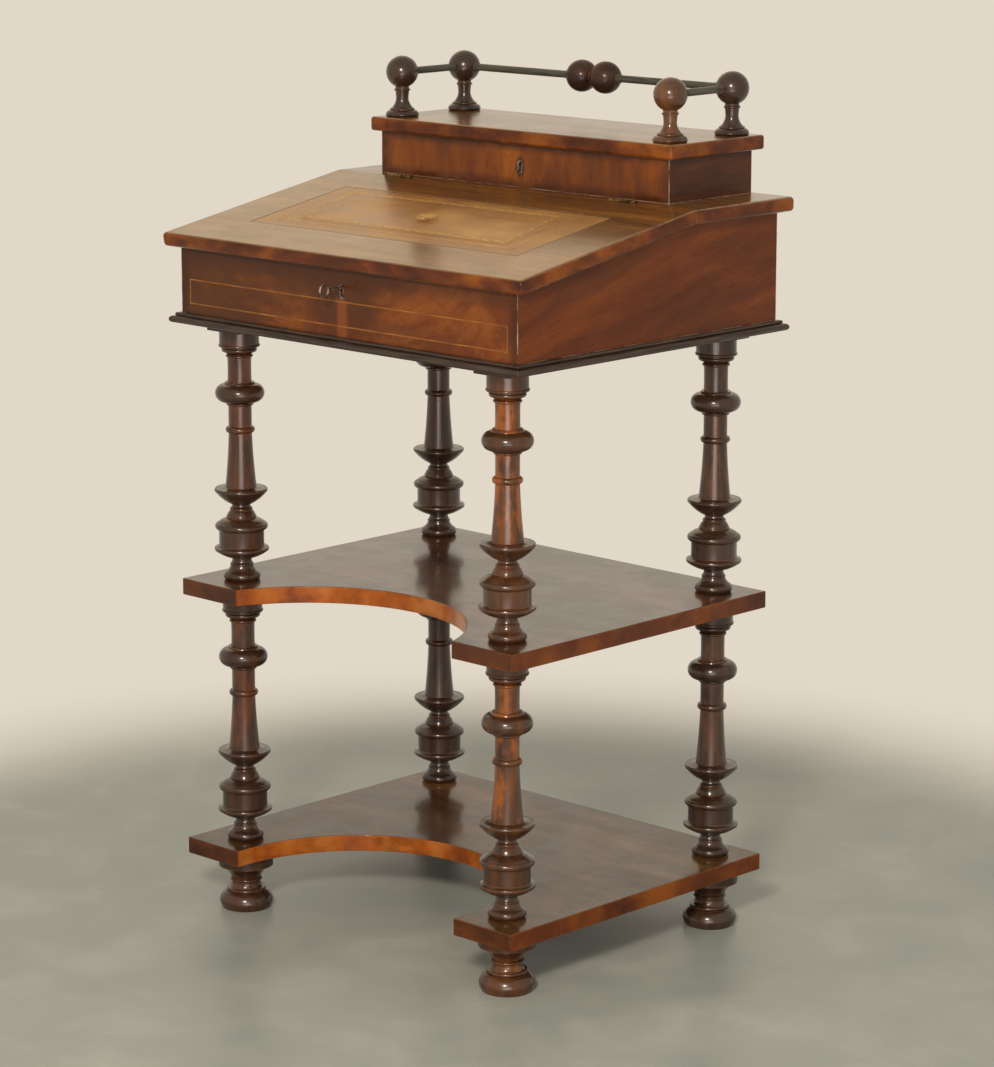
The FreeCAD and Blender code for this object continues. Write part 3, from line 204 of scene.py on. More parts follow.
SIDE_WALNUT = ("#451c07", "#5c2a09", "#72390c")
SHELF_WALNUT = ("#2b170d", "#472816", "#6a4225")
EDGE_WALNUT = ("#3a180a", "#5a290b", "#82460f")
LID_WALNUT = ("#4c2f10", "#6d4617", "#895c21")
WORN = "#b0682c"
PALE_WEAR = "#c2a48c"


def plain_walnut_veneer(name, shades, vein, axis, tilt=(0, 0, 0), dull=0.16, worn=WORN, width=1.6 * MM):
    """Knife-cut walnut veneer, french polished: long soft brown veins, orange where rubbed, and a
    painted shadow under the lids and above the mouldings, with some dirt in the corners."""
    material, tree, shader, place = start_finish(name)
    colour, height = grown(tree, place, shades, vein, tilt=tilt)
    colour = pored(tree, place, colour, axis, 0.35, tilt=tilt)
    broad_vein = tuple(1.6 * v for v in vein)
    streaky = veins(tree, place, broad_vein, (0.3, 0.2, 0.1), tilt, 3.0, 0.3)
    streaks = add(tree, "ShaderNodeMapRange", (streaky, 0.54, 0.7), **SMOOTH)
    colour = tinted(tree, colour, streaks, 0.5, "#3d1e10")
    # Painted shade under the lids and above the mouldings, with some dirt in the corners.
    colour = tinted(tree, colour, hollow_shade_and_dirt(tree, 22 * MM), 0.6, "#2a140a")
    colour = tinted(tree, colour, rubbed_edges(tree, place, width), 0.75, worn)
    polish(tree, shader, place, colour, height, 0.15 * MM, dull, 0.28)
    return material


def banded_walnut_board(name, top, edge, vein, band, axis, dull=0.14, coat=0.9, hollowed=False):
    """A board veneered on its flats and cross-banded on its edges, where the short grain stands up.
    On a hollowed shelf the band in the hollow is fresher and more orange than the straight ones."""
    material, tree, shader, place = start_finish(name)
    flat, height = grown(tree, place, top, vein)
    faded = veins(tree, place, (0.07, 0.05, 0.05), (0.1, 0, 0), detail=5.0)
    worn_flat = add(tree, "ShaderNodeMapRange", (faded, 0.55, 0.72), **SMOOTH)
    flat = tinted(tree, flat, worn_flat, 0.45, top[2])
    lipped, _ = grown(tree, place, edge, band, sway=0.2)
    up = face_up(tree)
    if hollowed:
        split = add(tree, "ShaderNodeSeparateXYZ", {"Vector": place})
        off_middle = add(tree, "ShaderNodeMath", (split.outputs["X"],), operation="ABSOLUTE")
        across = add(tree, "ShaderNodeMapRange", (off_middle, HOLLOW_HALF, HOLLOW_HALF - 8 * MM), **SMOOTH)
        behind = add(tree, "ShaderNodeMapRange",
                     (split.outputs["Y"], SHELF_LOW.y + 0.65 * MM, SHELF_LOW.y + 2.65 * MM), **SMOOTH)
        # The shelf's straight back edge has no fresh band.
        ahead = add(tree, "ShaderNodeMapRange", (split.outputs["Y"], HOLLOW_END, HOLLOW_END - 20 * MM),
                    **SMOOTH)
        within = add(tree, "ShaderNodeMath", (across, behind), operation="MULTIPLY")
        inside = add(tree, "ShaderNodeMath", (within, ahead), operation="MULTIPLY")
        mottle = veins(tree, place, (0.045, 0.045, 0.06), detail=3.0)
        patches = add(tree, "ShaderNodeValToRGB", {"Fac": mottle},
                      stops=((0.34, "#7a3a12"), (0.5, "#984f14"), (0.66, "#a6632a")))
        straight = add(tree, "ShaderNodeMath", (1.0, behind), operation="SUBTRACT")
        lipped = tinted(tree, lipped, straight, 0.6, "#2f1b12")
        lipped = add(tree, "ShaderNodeMix", {"Factor": inside, "A": lipped, "B": patches},
                     data_type="RGBA")
    colour = add(tree, "ShaderNodeMix", {"Factor": up, "A": lipped, "B": flat}, data_type="RGBA")
    half_up = add(tree, "ShaderNodeMath", (up, 0.5), operation="MULTIPLY")
    colour = pored(tree, place, colour, axis, half_up)
    grimy = veins(tree, place, (0.06, 0.06, 0.02), detail=4.0)
    grime = add(tree, "ShaderNodeMapRange", (grimy, 0.5, 0.7), **SMOOTH)
    upright = add(tree, "ShaderNodeMath", (1.0, up), operation="SUBTRACT")
    grime_on_edge = add(tree, "ShaderNodeMath", (grime, upright), operation="MULTIPLY")
    colour = tinted(tree, colour, grime_on_edge, 0.45, "#2c150b")
    # Painted shade and some dirt in the corners and grooves.
    colour = tinted(tree, colour, hollow_shade_and_dirt(tree, 14 * MM), 0.7, "#1c0e07")
    colour = tinted(tree, colour, rubbed_edges(tree, place, 2.4 * MM), 0.85, WORN)
    polish(tree, shader, place, colour, height, 0.12 * MM, dull, coat)
    # The flats have a full film of polish, the edges a thin one.
    film = add(tree, "ShaderNodeMapRange", (up, 0.0, 1.0, 0.3, coat), **SMOOTH)
    wire(tree, film, shader.inputs["Coat Weight"])
    return material


def burr_walnut_front():
    """Book-matched burr walnut: soft clouds and curls mirrored about a joint under the keyhole."""
    material, tree, shader, place = start_finish("burr_walnut_veneer")
    split = add(tree, "ShaderNodeSeparateXYZ", {"Vector": place})
    across = add(tree, "ShaderNodeMath", (split.outputs["X"],), operation="ABSOLUTE")
    matched = add(tree, "ShaderNodeCombineXYZ",
                  {"X": across, "Y": split.outputs["Y"], "Z": split.outputs["Z"]})
    swirl = add(tree, "ShaderNodeTexNoise",
                {"Vector": matched, "Scale": 1 / 0.07, "Detail": 3.0, "Roughness": 0.5, "Distortion": 0.8})
    warp = add(tree, "ShaderNodeVectorMath",
               {0: swirl.outputs["Color"], "Scale": 0.03}, operation="SCALE")
    bent = add(tree, "ShaderNodeVectorMath", (matched, warp), operation="ADD")
    colour, height = grown(tree, bent, ("#47200c", "#622f0e", "#824816"), (0.06, 0.03, 0.03),
                           tilt=(0, radians(-24), 0), sway=0.7)
    curled = veins(tree, bent, (0.03, 0.03, 0.004), (0.2, 0, 0.1), (0, radians(-38), 0), 3.0, 0.6)
    curls = add(tree, "ShaderNodeMapRange", (curled, 0.52, 0.7), **SMOOTH)
    colour = tinted(tree, colour, curls, 0.28, "#43200f")
    eyes = add(tree, "ShaderNodeTexVoronoi", {"Vector": bent, "Scale": 1 / 0.012}, feature="F1")
    specks = add(tree, "ShaderNodeMapRange", (eyes.outputs["Distance"], 0.16, 0.06), **SMOOTH)
    colour = tinted(tree, colour, specks, 0.35, "#3a1a0c")
    # Darker towards the left end, in soft clouds.
    leaning = add(tree, "ShaderNodeMath", (split.outputs["X"], -0.85), operation="MULTIPLY")
    clouds = veins(tree, place, (0.16, 0.1, 0.05), (0.09, 0, 0.02), detail=3.0)
    cloudy = add(tree, "ShaderNodeMath", (leaning, clouds), operation="ADD")
    darker_leftwards = add(tree, "ShaderNodeMapRange", (cloudy, 0.4, 0.6), **SMOOTH)
    colour = tinted(tree, colour, darker_leftwards, 0.8, "#45260f")
    joint = add(tree, "ShaderNodeMapRange", (across, 12 * MM, 3 * MM), **SMOOTH)
    height_up = split.outputs["Z"]
    low = add(tree, "ShaderNodeMapRange", (height_up, UNDER_KEYHOLE, UNDER_KEYHOLE - 8 * MM), **SMOOTH)
    low_joint = add(tree, "ShaderNodeMath", (joint, low), operation="MULTIPLY")
    colour = tinted(tree, colour, low_joint, 0.5, "#8a4a18")
    half_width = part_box("front_panel")[1].x
    ends = add(tree, "ShaderNodeMapRange", (across, half_width - 19.5 * MM, half_width - 3.5 * MM),
               **SMOOTH)
    # Darker towards both ends, and a painted shadow under the writing lid's overhang along the top.
    rim = add(tree, "ShaderNodeMapRange", (height_up, UNDER_KEYHOLE, UNDER_KEYHOLE + 28 * MM), **SMOOTH)
    dark_ends = add(tree, "ShaderNodeMath", (ends, 0.7), operation="MULTIPLY")
    painted_lid_shadow = add(tree, "ShaderNodeMath", (rim, 0.6), operation="MULTIPLY")
    shade = add(tree, "ShaderNodeMath", (dark_ends, painted_lid_shadow), operation="MAXIMUM")
    colour = tinted(tree, colour, shade, 1.0, "#33190f")
    # Painted shade and some dirt in the corners.
    colour = tinted(tree, colour, hollow_shade_and_dirt(tree, 12 * MM), 0.6, "#1c0d07")
    rubbed = rubbed_edges(tree, place, 1.2 * MM)
    outer = add(tree, "ShaderNodeMapRange", (across, half_width - 10.5 * MM, half_width - 7.5 * MM),
                **SMOOTH)
    corner = add(tree, "ShaderNodeMath", (outer, rubbed), operation="MULTIPLY")
    colour = tinted(tree, colour, corner, 0.95, PALE_WEAR)
    polish(tree, shader, place, colour, height, 0.1 * MM, 0.15, 0.28)
    return material


def flame_banding():
    """Cross-cut walnut on the box: upright orange flames, dark streaks, a darker border at the foot and
    ends, and a painted shadow along the top under the stationery lid.
    """
    material, tree, shader, place = start_finish("walnut_flame_banding")
    split = add(tree, "ShaderNodeSeparateXYZ", {"Vector": place})
    colour, height = grown(tree, place, ("#5e2a0c", "#783e0d", "#905012"), (0.024, 0.03, 0.08),
                           sway=0.7)
    streaky = veins(tree, place, (0.008, 0.03, 0.03), (0.4, 0, 0), detail=4.0, sway=0.9)
    streaks = add(tree, "ShaderNodeMapRange", (streaky, 0.56, 0.72), **SMOOTH)
    colour = tinted(tree, colour, streaks, 0.6, "#3a1a0b")
    broad = veins(tree, place, (0.05, 0.05, 0.12), (0.15, 0, 0.3), detail=2.0)
    bands = add(tree, "ShaderNodeMapRange", (broad, 0.5, 0.66), **SMOOTH)
    colour = tinted(tree, colour, bands, 0.6, "#4c2612")
    bottom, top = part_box("stationery_front")
    height_up = split.outputs["Z"]
    # Darker along the foot and the ends, and a painted shadow along the top under the stationery lid's
    # overhang.
    foot = add(tree, "ShaderNodeMapRange", (height_up, bottom.z + 14.3 * MM, bottom.z + 2.3 * MM), **SMOOTH)
    under_slab_shadow = add(tree, "ShaderNodeMapRange", (height_up, top.z - 11.7 * MM, top.z - 1.7 * MM), **SMOOTH)
    across = add(tree, "ShaderNodeMath", (split.outputs["X"],), operation="ABSOLUTE")
    ends = add(tree, "ShaderNodeMapRange", (across, top.x - 26 * MM, top.x - 1 * MM), **SMOOTH)
    wavy = veins(tree, place, (0.02, 0.02, 0.02), detail=4.0)
    shadow_or_end = add(tree, "ShaderNodeMath", (under_slab_shadow, ends), operation="MAXIMUM")
    rim = add(tree, "ShaderNodeMath", (foot, shadow_or_end), operation="MAXIMUM")
    uneven = add(tree, "ShaderNodeMapRange", (wavy, 0.3, 0.6, 0.45, 0.85), **SMOOTH)
    border = add(tree, "ShaderNodeMath", (rim, uneven), operation="MULTIPLY")
    colour = tinted(tree, colour, border, 1.0, "#3b1b0c")
    # Dirt from fingers and oil round the keyhole.
    above = add(tree, "ShaderNodeMath", (height_up, BOX_KEYHOLE), operation="SUBTRACT")
    squashed = add(tree, "ShaderNodeMath", (above, 0.55), operation="MULTIPLY")
    hole = add(tree, "ShaderNodeCombineXYZ", {"X": split.outputs["X"], "Z": squashed})
    away = add(tree, "ShaderNodeVectorMath", (hole,), operation="LENGTH").outputs["Value"]
    fingered = add(tree, "ShaderNodeMapRange", (away, 9 * MM, 5 * MM), **SMOOTH)
    colour = tinted(tree, colour, fingered, 0.75, "#2e1a0d")
    colour = tinted(tree, colour, rubbed_edges(tree, place, 1.2 * MM), 0.9, PALE_WEAR)
    polish(tree, shader, place, colour, height, 0.12 * MM, 0.16, 0.35)
    return material


def turned_walnut(name, axis, shades, rim, glow="#6a3516", warmth=0.4, worn="#9a5a24"):
    """Walnut turned on the lathe and french polished: dark in the quirks from painted shade and dirt,
    browner on the shafts, with faint rings from the gouge. axis is where its centre line stands, rim its
    widest radius."""
    material, tree, shader, place = start_finish(name)
    centred = add(tree, "ShaderNodeMapping", {"Vector": place, "Location": (*axis, 0)},
                  vector_type="TEXTURE")
    colour, height = grown(tree, centred, shades, (0.012, 0.012, 0.07), sway=0.5)
    split = add(tree, "ShaderNodeSeparateXYZ", {"Vector": centred})
    flat = add(tree, "ShaderNodeCombineXYZ", {"X": split.outputs["X"], "Y": split.outputs["Y"]})
    radius = add(tree, "ShaderNodeVectorMath", (flat,), operation="LENGTH").outputs["Value"]
    shaft = add(tree, "ShaderNodeMapRange", (radius, 0.66 * rim, 0.52 * rim), **SMOOTH)
    patchy = veins(tree, place, (0.02, 0.02, 0.05), detail=3.0)
    patch = add(tree, "ShaderNodeMapRange", (patchy, 0.44, 0.6), **SMOOTH)
    above_shelf = add(tree, "ShaderNodeMath", (split.outputs["Z"], SHELF_HIGH.z), operation="SUBTRACT")
    stage_rise = add(tree, "ShaderNodeMath", (above_shelf, SHELF_PITCH), operation="FLOORED_MODULO")
    above_cup = add(tree, "ShaderNodeMapRange", (stage_rise, CUP_RISE, CUP_RISE + 15 * MM), **SMOOTH)
    open_shaft = add(tree, "ShaderNodeMath", (shaft, above_cup), operation="MULTIPLY")
    lit = add(tree, "ShaderNodeMath", (open_shaft, patch), operation="MULTIPLY")
    colour = tinted(tree, colour, lit, warmth, glow)
    swelling = add(tree, "ShaderNodeMapRange", (radius, 0.56 * rim, 0.72 * rim), **SMOOTH)
    in_cup = add(tree, "ShaderNodeMath", (1.0, above_cup), operation="SUBTRACT")
    handled = add(tree, "ShaderNodeMath", (swelling, in_cup), operation="MAXIMUM")
    colour = tinted(tree, colour, handled, 0.4, "#32241b")
    # Painted shade and some dirt in the coves and quirks.
    colour = tinted(tree, colour, hollow_shade_and_dirt(tree, 10 * MM), 0.85, "#120a06")
    colour = tinted(tree, colour, rubbed_edges(tree, place, 1.6 * MM), 0.7, worn)
    ring = add(tree, "ShaderNodeMath", (split.outputs["Z"], 1.2 * MM), operation="DIVIDE")
    gouge = add(tree, "ShaderNodeTexNoise", {"W": ring, "Scale": 1.0, "Detail": 2.0}, noise_dimensions="1D")
    faint = add(tree, "ShaderNodeMath", (gouge, 0.35), operation="MULTIPLY")
    ringed = add(tree, "ShaderNodeMath", (faint, height), operation="ADD")
    polish(tree, shader, place, colour, ringed, 0.15 * MM, 0.19, 0.8)
    return material


def ebonised_moulding(name, tint="#3a2e27"):
    """Wood stained black and polished: near-black brown, browner where the stain has rubbed off."""
    material, tree, shader, place = start_finish(name)
    grain = veins(tree, place, (0.05, 0.05, 0.002), detail=4.0)
    colour = add(tree, "ShaderNodeValToRGB", {"Fac": grain},
                 stops=((0.3, "#1d1512"), (0.52, tint), (0.7, "#4d3b30")))
    colour = tinted(tree, colour, rubbed_edges(tree, place, 1.5 * MM), 0.55, "#7c5136")
    polish(tree, shader, place, colour, grain, 0.15 * MM, 0.22, 0.4)
    return material


def raw_wood(name, shades, vein, axis, rough):
    """Planed wood with no polish: open grain that scatters light, with a few darker rings."""
    material, tree, shader, place = start_finish(name)
    colour, height = grown(tree, place, shades, vein)
    colour = pored(tree, place, colour, axis, 0.4, "#9c8470")
    handled = veins(tree, place, (0.08, 0.08, 0.08), detail=5.0)
    darkened = add(tree, "ShaderNodeMapRange", (handled, 0.5, 0.75), **SMOOTH)
    colour = tinted(tree, colour, darkened, 0.4, shades[0])
    dry = add(tree, "ShaderNodeMapRange", (handled, 0.3, 0.7, rough - 0.08, rough + 0.08), **SMOOTH)
    bump = add(tree, "ShaderNodeBump", {"Height": height, "Strength": 0.6, "Distance": 0.3 * MM})
    wire(tree, colour, shader.inputs["Base Color"])
    wire(tree, dry, shader.inputs["Roughness"])
    wire(tree, bump, shader.inputs["Normal"])
    return material


def boxwood_line():
    """Boxwood stringing: a dense pale wood gone amber under old polish, worn thin in places."""
    material, tree, shader, place = start_finish("boxwood_stringing")
    grain = veins(tree, place, (0.03, 0.001, 0.001), detail=3.0)
    colour = add(tree, "ShaderNodeValToRGB", {"Fac": grain},
                 stops=((0.3, "#5e3412"), (0.5, "#84501c"), (0.72, "#a26e2e")))
    thin = veins(tree, place, (0.04, 0.04, 0.04), detail=3.0)
    lost = add(tree, "ShaderNodeMapRange", (thin, 0.48, 0.66), **SMOOTH)
    colour = tinted(tree, colour, lost, 0.6, "#5c3014")
    polish(tree, shader, place, colour, grain, 0.05 * MM, 0.18, 0.35)
    return material


def tanned_skiver():
    """A skiver of tanned sheepskin, waxed and worn: pebbled grain, tan with brown scuffs."""
    material, tree, shader, place = start_finish("tanned_skiver")
    laid = add(tree, "ShaderNodeMapping",
               {"Vector": place, "Location": HINGE_LINE, "Rotation": (LID_SLOPE, 0, 0)},
               vector_type="TEXTURE")
    split = add(tree, "ShaderNodeSeparateXYZ", {"Vector": laid})
    cloud = veins(tree, laid, (0.09, 0.06, 0.06), detail=5.0)
    colour = add(tree, "ShaderNodeValToRGB", {"Fac": cloud},
                 stops=((0.32, "#86561a"), (0.5, "#a26e25"), (0.68, "#ba8838")))
    scratches = veins(tree, laid, (0.004, 0.018, 0.01), tilt=(0, 0, 0.5), detail=3.0)
    scuffs = add(tree, "ShaderNodeMapRange", (scratches, 0.62, 0.75), **SMOOTH)
    colour = tinted(tree, colour, scuffs, 0.35, "#5a3519")
    # The border outside the inner gilt lines is a shade browner from handling.
    across = add(tree, "ShaderNodeMath", (split.outputs["X"],), operation="ABSOLUTE")
    off_middle = add(tree, "ShaderNodeMath", (split.outputs["Y"], SKIVER_MIDDLE), operation="SUBTRACT")
    down = add(tree, "ShaderNodeMath", (off_middle,), operation="ABSOLUTE")
    half_width, half_depth = (size / 2 for size in INNER_FILLET)
    out_x = add(tree, "ShaderNodeMapRange", (across, half_width - 3 * MM, half_width + 3 * MM), **SMOOTH)
    out_y = add(tree, "ShaderNodeMapRange", (down, half_depth - 3 * MM, half_depth + 3 * MM), **SMOOTH)
    outside = add(tree, "ShaderNodeMath", (out_x, out_y), operation="MAXIMUM")
    colour = tinted(tree, colour, outside, 0.25, "#7c5220")
    half_width, half_depth = SKIVER_HALVES
    side = add(tree, "ShaderNodeMapRange", (across, half_width - 3.5 * MM, half_width - 1.9 * MM),
               **SMOOTH)
    ends = add(tree, "ShaderNodeMapRange", (down, half_depth - 3.5 * MM, half_depth - 1.9 * MM), **SMOOTH)
    edge = add(tree, "ShaderNodeMath", (side, ends), operation="MAXIMUM")
    colour = tinted(tree, colour, edge, 0.92, "#2c1a0c")
    # Sheepskin grain is about 0.5 mm a pebble, and drawn 1.2 mm so that it shows.
    pebbles = add(tree, "ShaderNodeTexVoronoi", {"Vector": laid, "Scale": 1 / (1.2 * MM)}, feature="F1")
    bump = add(tree, "ShaderNodeBump",
               {"Height": pebbles.outputs["Distance"], "Strength": 0.35, "Distance": 0.12 * MM})
    rough = add(tree, "ShaderNodeMapRange", (cloud, 0.3, 0.7, 0.34, 0.5), **SMOOTH)
    wire(tree, colour, shader.inputs["Base Color"])
    wire(tree, rough, shader.inputs["Roughness"])
    wire(tree, bump, shader.inputs["Normal"])
    shader.inputs["Coat Weight"].default_value = 0.35
    shader.inputs["Coat Roughness"].default_value = 0.25
    return material


def gold_leaf():
    """Gold leaf pressed into leather: thin, rubbed metal that lets the tan show in places."""
    material, tree, shader, place = start_finish("gold_leaf_tooling")
    patchy = veins(tree, place, (0.006, 0.006, 0.006), detail=4.0)
    whole = add(tree, "ShaderNodeMapRange", (patchy, 0.42, 0.62), **SMOOTH)
    colour = add(tree, "ShaderNodeMix", {"Factor": whole, "A": linear("#b98a3c"), "B": linear("#f0c468")},
                 data_type="RGBA")
    rough = add(tree, "ShaderNodeMapRange", (whole, 0.0, 1.0, 0.55, 0.32), **SMOOTH)
    metallic = add(tree, "ShaderNodeMapRange", (whole, 0.0, 1.0, 0.3, 0.7), **SMOOTH)
    wire(tree, colour, shader.inputs["Base Color"])
    wire(tree, rough, shader.inputs["Roughness"])
    wire(tree, metallic, shader.inputs["Metallic"])
    return material


def old_metal(name, bright, dull_tint, speck, rough, brushed):
    """Filed metal gone dull with age: fine file marks, dark spots of tarnish, brighter high points."""
    material, tree, shader, place = start_finish(name)
    marks = veins(tree, place, brushed, detail=2.0)
    tarnish = veins(tree, place, (0.006, 0.006, 0.006), detail=6.0)
    colour = add(tree, "ShaderNodeValToRGB", {"Fac": tarnish},
                 stops=((0.36, speck), (0.5, dull_tint), (0.66, bright)))
    height = add(tree, "ShaderNodeMath", (marks, tarnish), operation="ADD")
    bump = add(tree, "ShaderNodeBump", {"Height": height, "Strength": 0.4, "Distance": 0.08 * MM})
    dull = add(tree, "ShaderNodeMapRange", (tarnish, 0.35, 0.65, rough + 0.2, rough), **SMOOTH)
    wire(tree, colour, shader.inputs["Base Color"])
    wire(tree, dull, shader.inputs["Roughness"])
    wire(tree, bump, shader.inputs["Normal"])
    shader.inputs["Metallic"].default_value = 0.9
    return material


def clothe(material, *nodes):
    """Gives nodes of the model a finish."""
    for name in nodes:
        slots = NODES[name].data.materials
        if len(slots) == 0:
            slots.append(material)
        for i in range(len(slots)):
            slots[i] = material


clothe(plain_walnut_veneer("walnut_side_veneer", SIDE_WALNUT, (0.09, 0.16, 0.03), 1,
                           (radians(14), 0, 0), worn=PALE_WEAR),
       "left_side", "right_side")
clothe(plain_walnut_veneer("walnut_box_side_veneer", ("#2c130a", "#40200d", "#552c10"),
                           (0.05, 0.09, 0.015), 1, worn=PALE_WEAR),
       "stationery_left", "stationery_right", "stationery_back")
clothe(burr_walnut_front(), "front_panel")
clothe(flame_banding(), "stationery_front")
clothe(banded_walnut_board("walnut_middle_shelf", SHELF_WALNUT, EDGE_WALNUT, (0.16, 0.03, 0.03),
                           (0.05, 0.05, 0.06), 0, 0.12, 0.9, True),
       "middle_shelf")
clothe(banded_walnut_board("walnut_bottom_shelf", ("#2d190b", "#4b2e14", "#704c27"), EDGE_WALNUT,
                           (0.16, 0.03, 0.03), (0.05, 0.05, 0.06), 0, 0.12, 0.6, True),
       "bottom_shelf")
clothe(banded_walnut_board("walnut_lid_border", LID_WALNUT, EDGE_WALNUT, (0.16, 0.014, 0.02),
                           (0.03, 0.03, 0.02), 0, 0.17),
       "writing_lid_board", "top_board", "stationery_lid_board")
clothe(ebonised_moulding("ebonised_moulding"), "base_moulding_front", "base_moulding_left",
       "base_moulding_right", "base_moulding_back", "corner_plates")
clothe(ebonised_moulding("ebonised_rail", "#4c4d42"), "gallery_side_rails", "gallery_back_rails")


def axis_of(name):
    """Where a turned piece's centre line stands, in x and y."""
    low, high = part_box(name)
    return tuple((low + high) / 2)[:2]


COLUMN_SHADES = ("#19110c", "#322117", "#4a3120")
CORNERS = {
    # corner: shades, glow, warmth
    "front_left": (("#1b100b", "#382115", "#54301a"), "#6a3516", 0.4),
    "front_right": (("#25150c", "#4a2a14", "#6c3e17"), "#96500f", 0.65),
    "back_left": (COLUMN_SHADES, "#5c3018", 0.35),
    "back_right": (COLUMN_SHADES, "#6a3c1a", 0.35),
}
for corner, (shades, glow, warmth) in CORNERS.items():
    clothe(turned_walnut("turned_walnut_" + corner, axis_of("lower_column_" + corner), shades,
                         COLUMN_RIM, glow, warmth),
           "lower_column_" + corner, "upper_column_" + corner, "foot_" + corner)
BALL_SHADES = ("#1c1310", "#33231c", "#463027")
for corner in CORNERS:
    shades = ("#371e0e", "#5e3a1d", "#7c5230") if corner == "front_right" else BALL_SHADES
    clothe(turned_walnut("turned_post_" + corner, axis_of("gallery_post_" + corner), shades,
                         BALL_RIM, "#3a281e"),
           "gallery_post_" + corner)
clothe(plain_walnut_veneer("turned_ball_walnut", BALL_SHADES, (0.03, 0.01, 0.01), 0), "gallery_twin_ball")
clothe(raw_wood("stained_pine", ("#5d3c22", "#84592f", "#a37743"), (0.3, 0.02, 0.02), 0, 0.6),
       "base_board", "back_panel")
clothe(raw_wood("waxed_cedar", ("#5a2c16", "#844a26", "#a4683c"), (0.12, 0.02, 0.02), 0, 0.45),
       "interior_shelf", "drawer_dividers", "drawer_left", "drawer_right",
       "drawer_knob_left", "drawer_knob_right")
clothe(boxwood_line(), "front_stringing")
clothe(tanned_skiver(), "writing_leather")
clothe(old_metal("aged_brass", "#9c7c48", "#6c5230", "#35281a", 0.4, (0.02, 0.0006, 0.0006)),
       "hinge_leaves_desk", "hinge_leaves_writing_lid", "hinge_leaves_stationery_lid", "hinge_pins",
       "screws_desk", "screws_writing_lid", "screws_stationery_lid")
clothe(old_metal("worn_steel", "#b09c8e", "#7a685e", "#44352d", 0.4, (0.0006, 0.0006, 0.01)),
       "lock_cases", "front_lock_bolt", "front_lock_strike", "stationery_lock_bolt",
       "stationery_lock_strike", "keyhole_escutcheons", "key")


# ---------------------------------------------------------------- gilt tooling on the skiver

GOLD = gold_leaf()


def on_lid(x, down, lift=0.0):
    """A point of the lid's face: down is along the slope from the hinge line, negative to the sitter."""
    base = Vector(HINGE_LINE)
    return base + Vector((x, down * cos(LID_SLOPE) - lift * sin(LID_SLOPE),
                          down * sin(LID_SLOPE) + lift * cos(LID_SLOPE)))


def tooling_tree():
    """A roll-tooled frame: a flat gilt fillet round a rectangle, with small leaves set along it."""
    tree = bpy.data.node_groups.new("gilt_frame", "GeometryNodeTree")
    face = tree.interface
    face.new_socket("Geometry", in_out="OUTPUT", socket_type="NodeSocketGeometry")
    for name, value in (("Width", 0.3), ("Depth", 0.1), ("Line", 0.8 * MM), ("Thickness", GILT_THICKNESS),
                        ("Pitch", 5 * MM), ("Leaf", 0.0)):
        socket = face.new_socket(name, in_out="INPUT", socket_type="NodeSocketFloat")
        socket.default_value = value
    face.new_socket("Material", in_out="INPUT", socket_type="NodeSocketMaterial")
    given = add(tree, "NodeGroupInput").outputs
    path = add(tree, "GeometryNodeCurvePrimitiveQuadrilateral",
               {"Width": given["Width"], "Height": given["Depth"]})
    section = add(tree, "GeometryNodeCurvePrimitiveQuadrilateral",
                  {"Width": given["Line"], "Height": given["Thickness"]})
    fillet = add(tree, "GeometryNodeCurveToMesh",
                 {"Curve": path, "Profile Curve": section, "Fill Caps": False})
    spots = add(tree, "GeometryNodeCurveToPoints", {"Curve": path, "Length": given["Pitch"]}, mode="LENGTH")
    bud = add(tree, "GeometryNodeMeshCylinder",
              {"Vertices": 6, "Radius": given["Leaf"], "Depth": given["Thickness"]})
    pointed = add(tree, "GeometryNodeTransform", {"Geometry": bud, "Scale": (1.7, 0.8, 1.0)})
    turned = add(tree, "FunctionNodeAlignRotationToVector",
                 {"Vector": spots.outputs["Tangent"]}, axis="X")
    leaves = add(tree, "GeometryNodeInstanceOnPoints",
                 {"Points": spots.outputs["Points"], "Instance": pointed, "Rotation": turned})
    joined = add(tree, "GeometryNodeJoinGeometry")
    tree.links.new(fillet.outputs[0], joined.inputs[0])
    tree.links.new(leaves.outputs[0], joined.inputs[0])
    real = add(tree, "GeometryNodeRealizeInstances", {"Geometry": joined})
    finish = add(tree, "GeometryNodeSetMaterial", {"Geometry": real, "Material": given["Material"]})
    add(tree, "NodeGroupOutput", {"Geometry": finish})
    return tree


def made_plain(name, tree, values):
    """The mesh that a tree makes from these values, as a new object with no modifier."""
    seed = bpy.data.objects.new(name + "_seed", bpy.data.meshes.new(name + "_seed"))
    bpy.context.scene.collection.objects.link(seed)
    modifier = seed.modifiers.new("shape", "NODES")
    modifier.node_group = tree
    sockets = {item.name: item.identifier for item in tree.interface.items_tree if item.in_out == "INPUT"}
    for key, value in values.items():
        modifier[sockets[key]] = value
    bpy.context.view_layer.update()
    drawn = seed.evaluated_get(bpy.context.evaluated_depsgraph_get())
    mesh = bpy.data.meshes.new_from_object(drawn)
    seed.modifiers.remove(modifier)
    bpy.data.objects.remove(seed)
    mesh.name = name
    piece = bpy.data.objects.new(name, mesh)
    bpy.context.scene.collection.objects.link(piece)
    return piece


skiver_face = max((v.co - Vector(HINGE_LINE)).dot(Vector((0, -sin(LID_SLOPE), cos(LID_SLOPE))))
                  for v in NODES["writing_leather"].data.vertices)


def lay_on_skiver(piece):
    """Lays flat tooling on the middle of the skiver's face, to move with the writing lid."""
    spot = on_lid(0, SKIVER_MIDDLE, skiver_face + 0.05 * MM)
    piece.data.transform(Matrix.Translation(spot) @ Matrix.Rotation(LID_SLOPE, 4, "X"))
    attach(piece, "writing_lid")


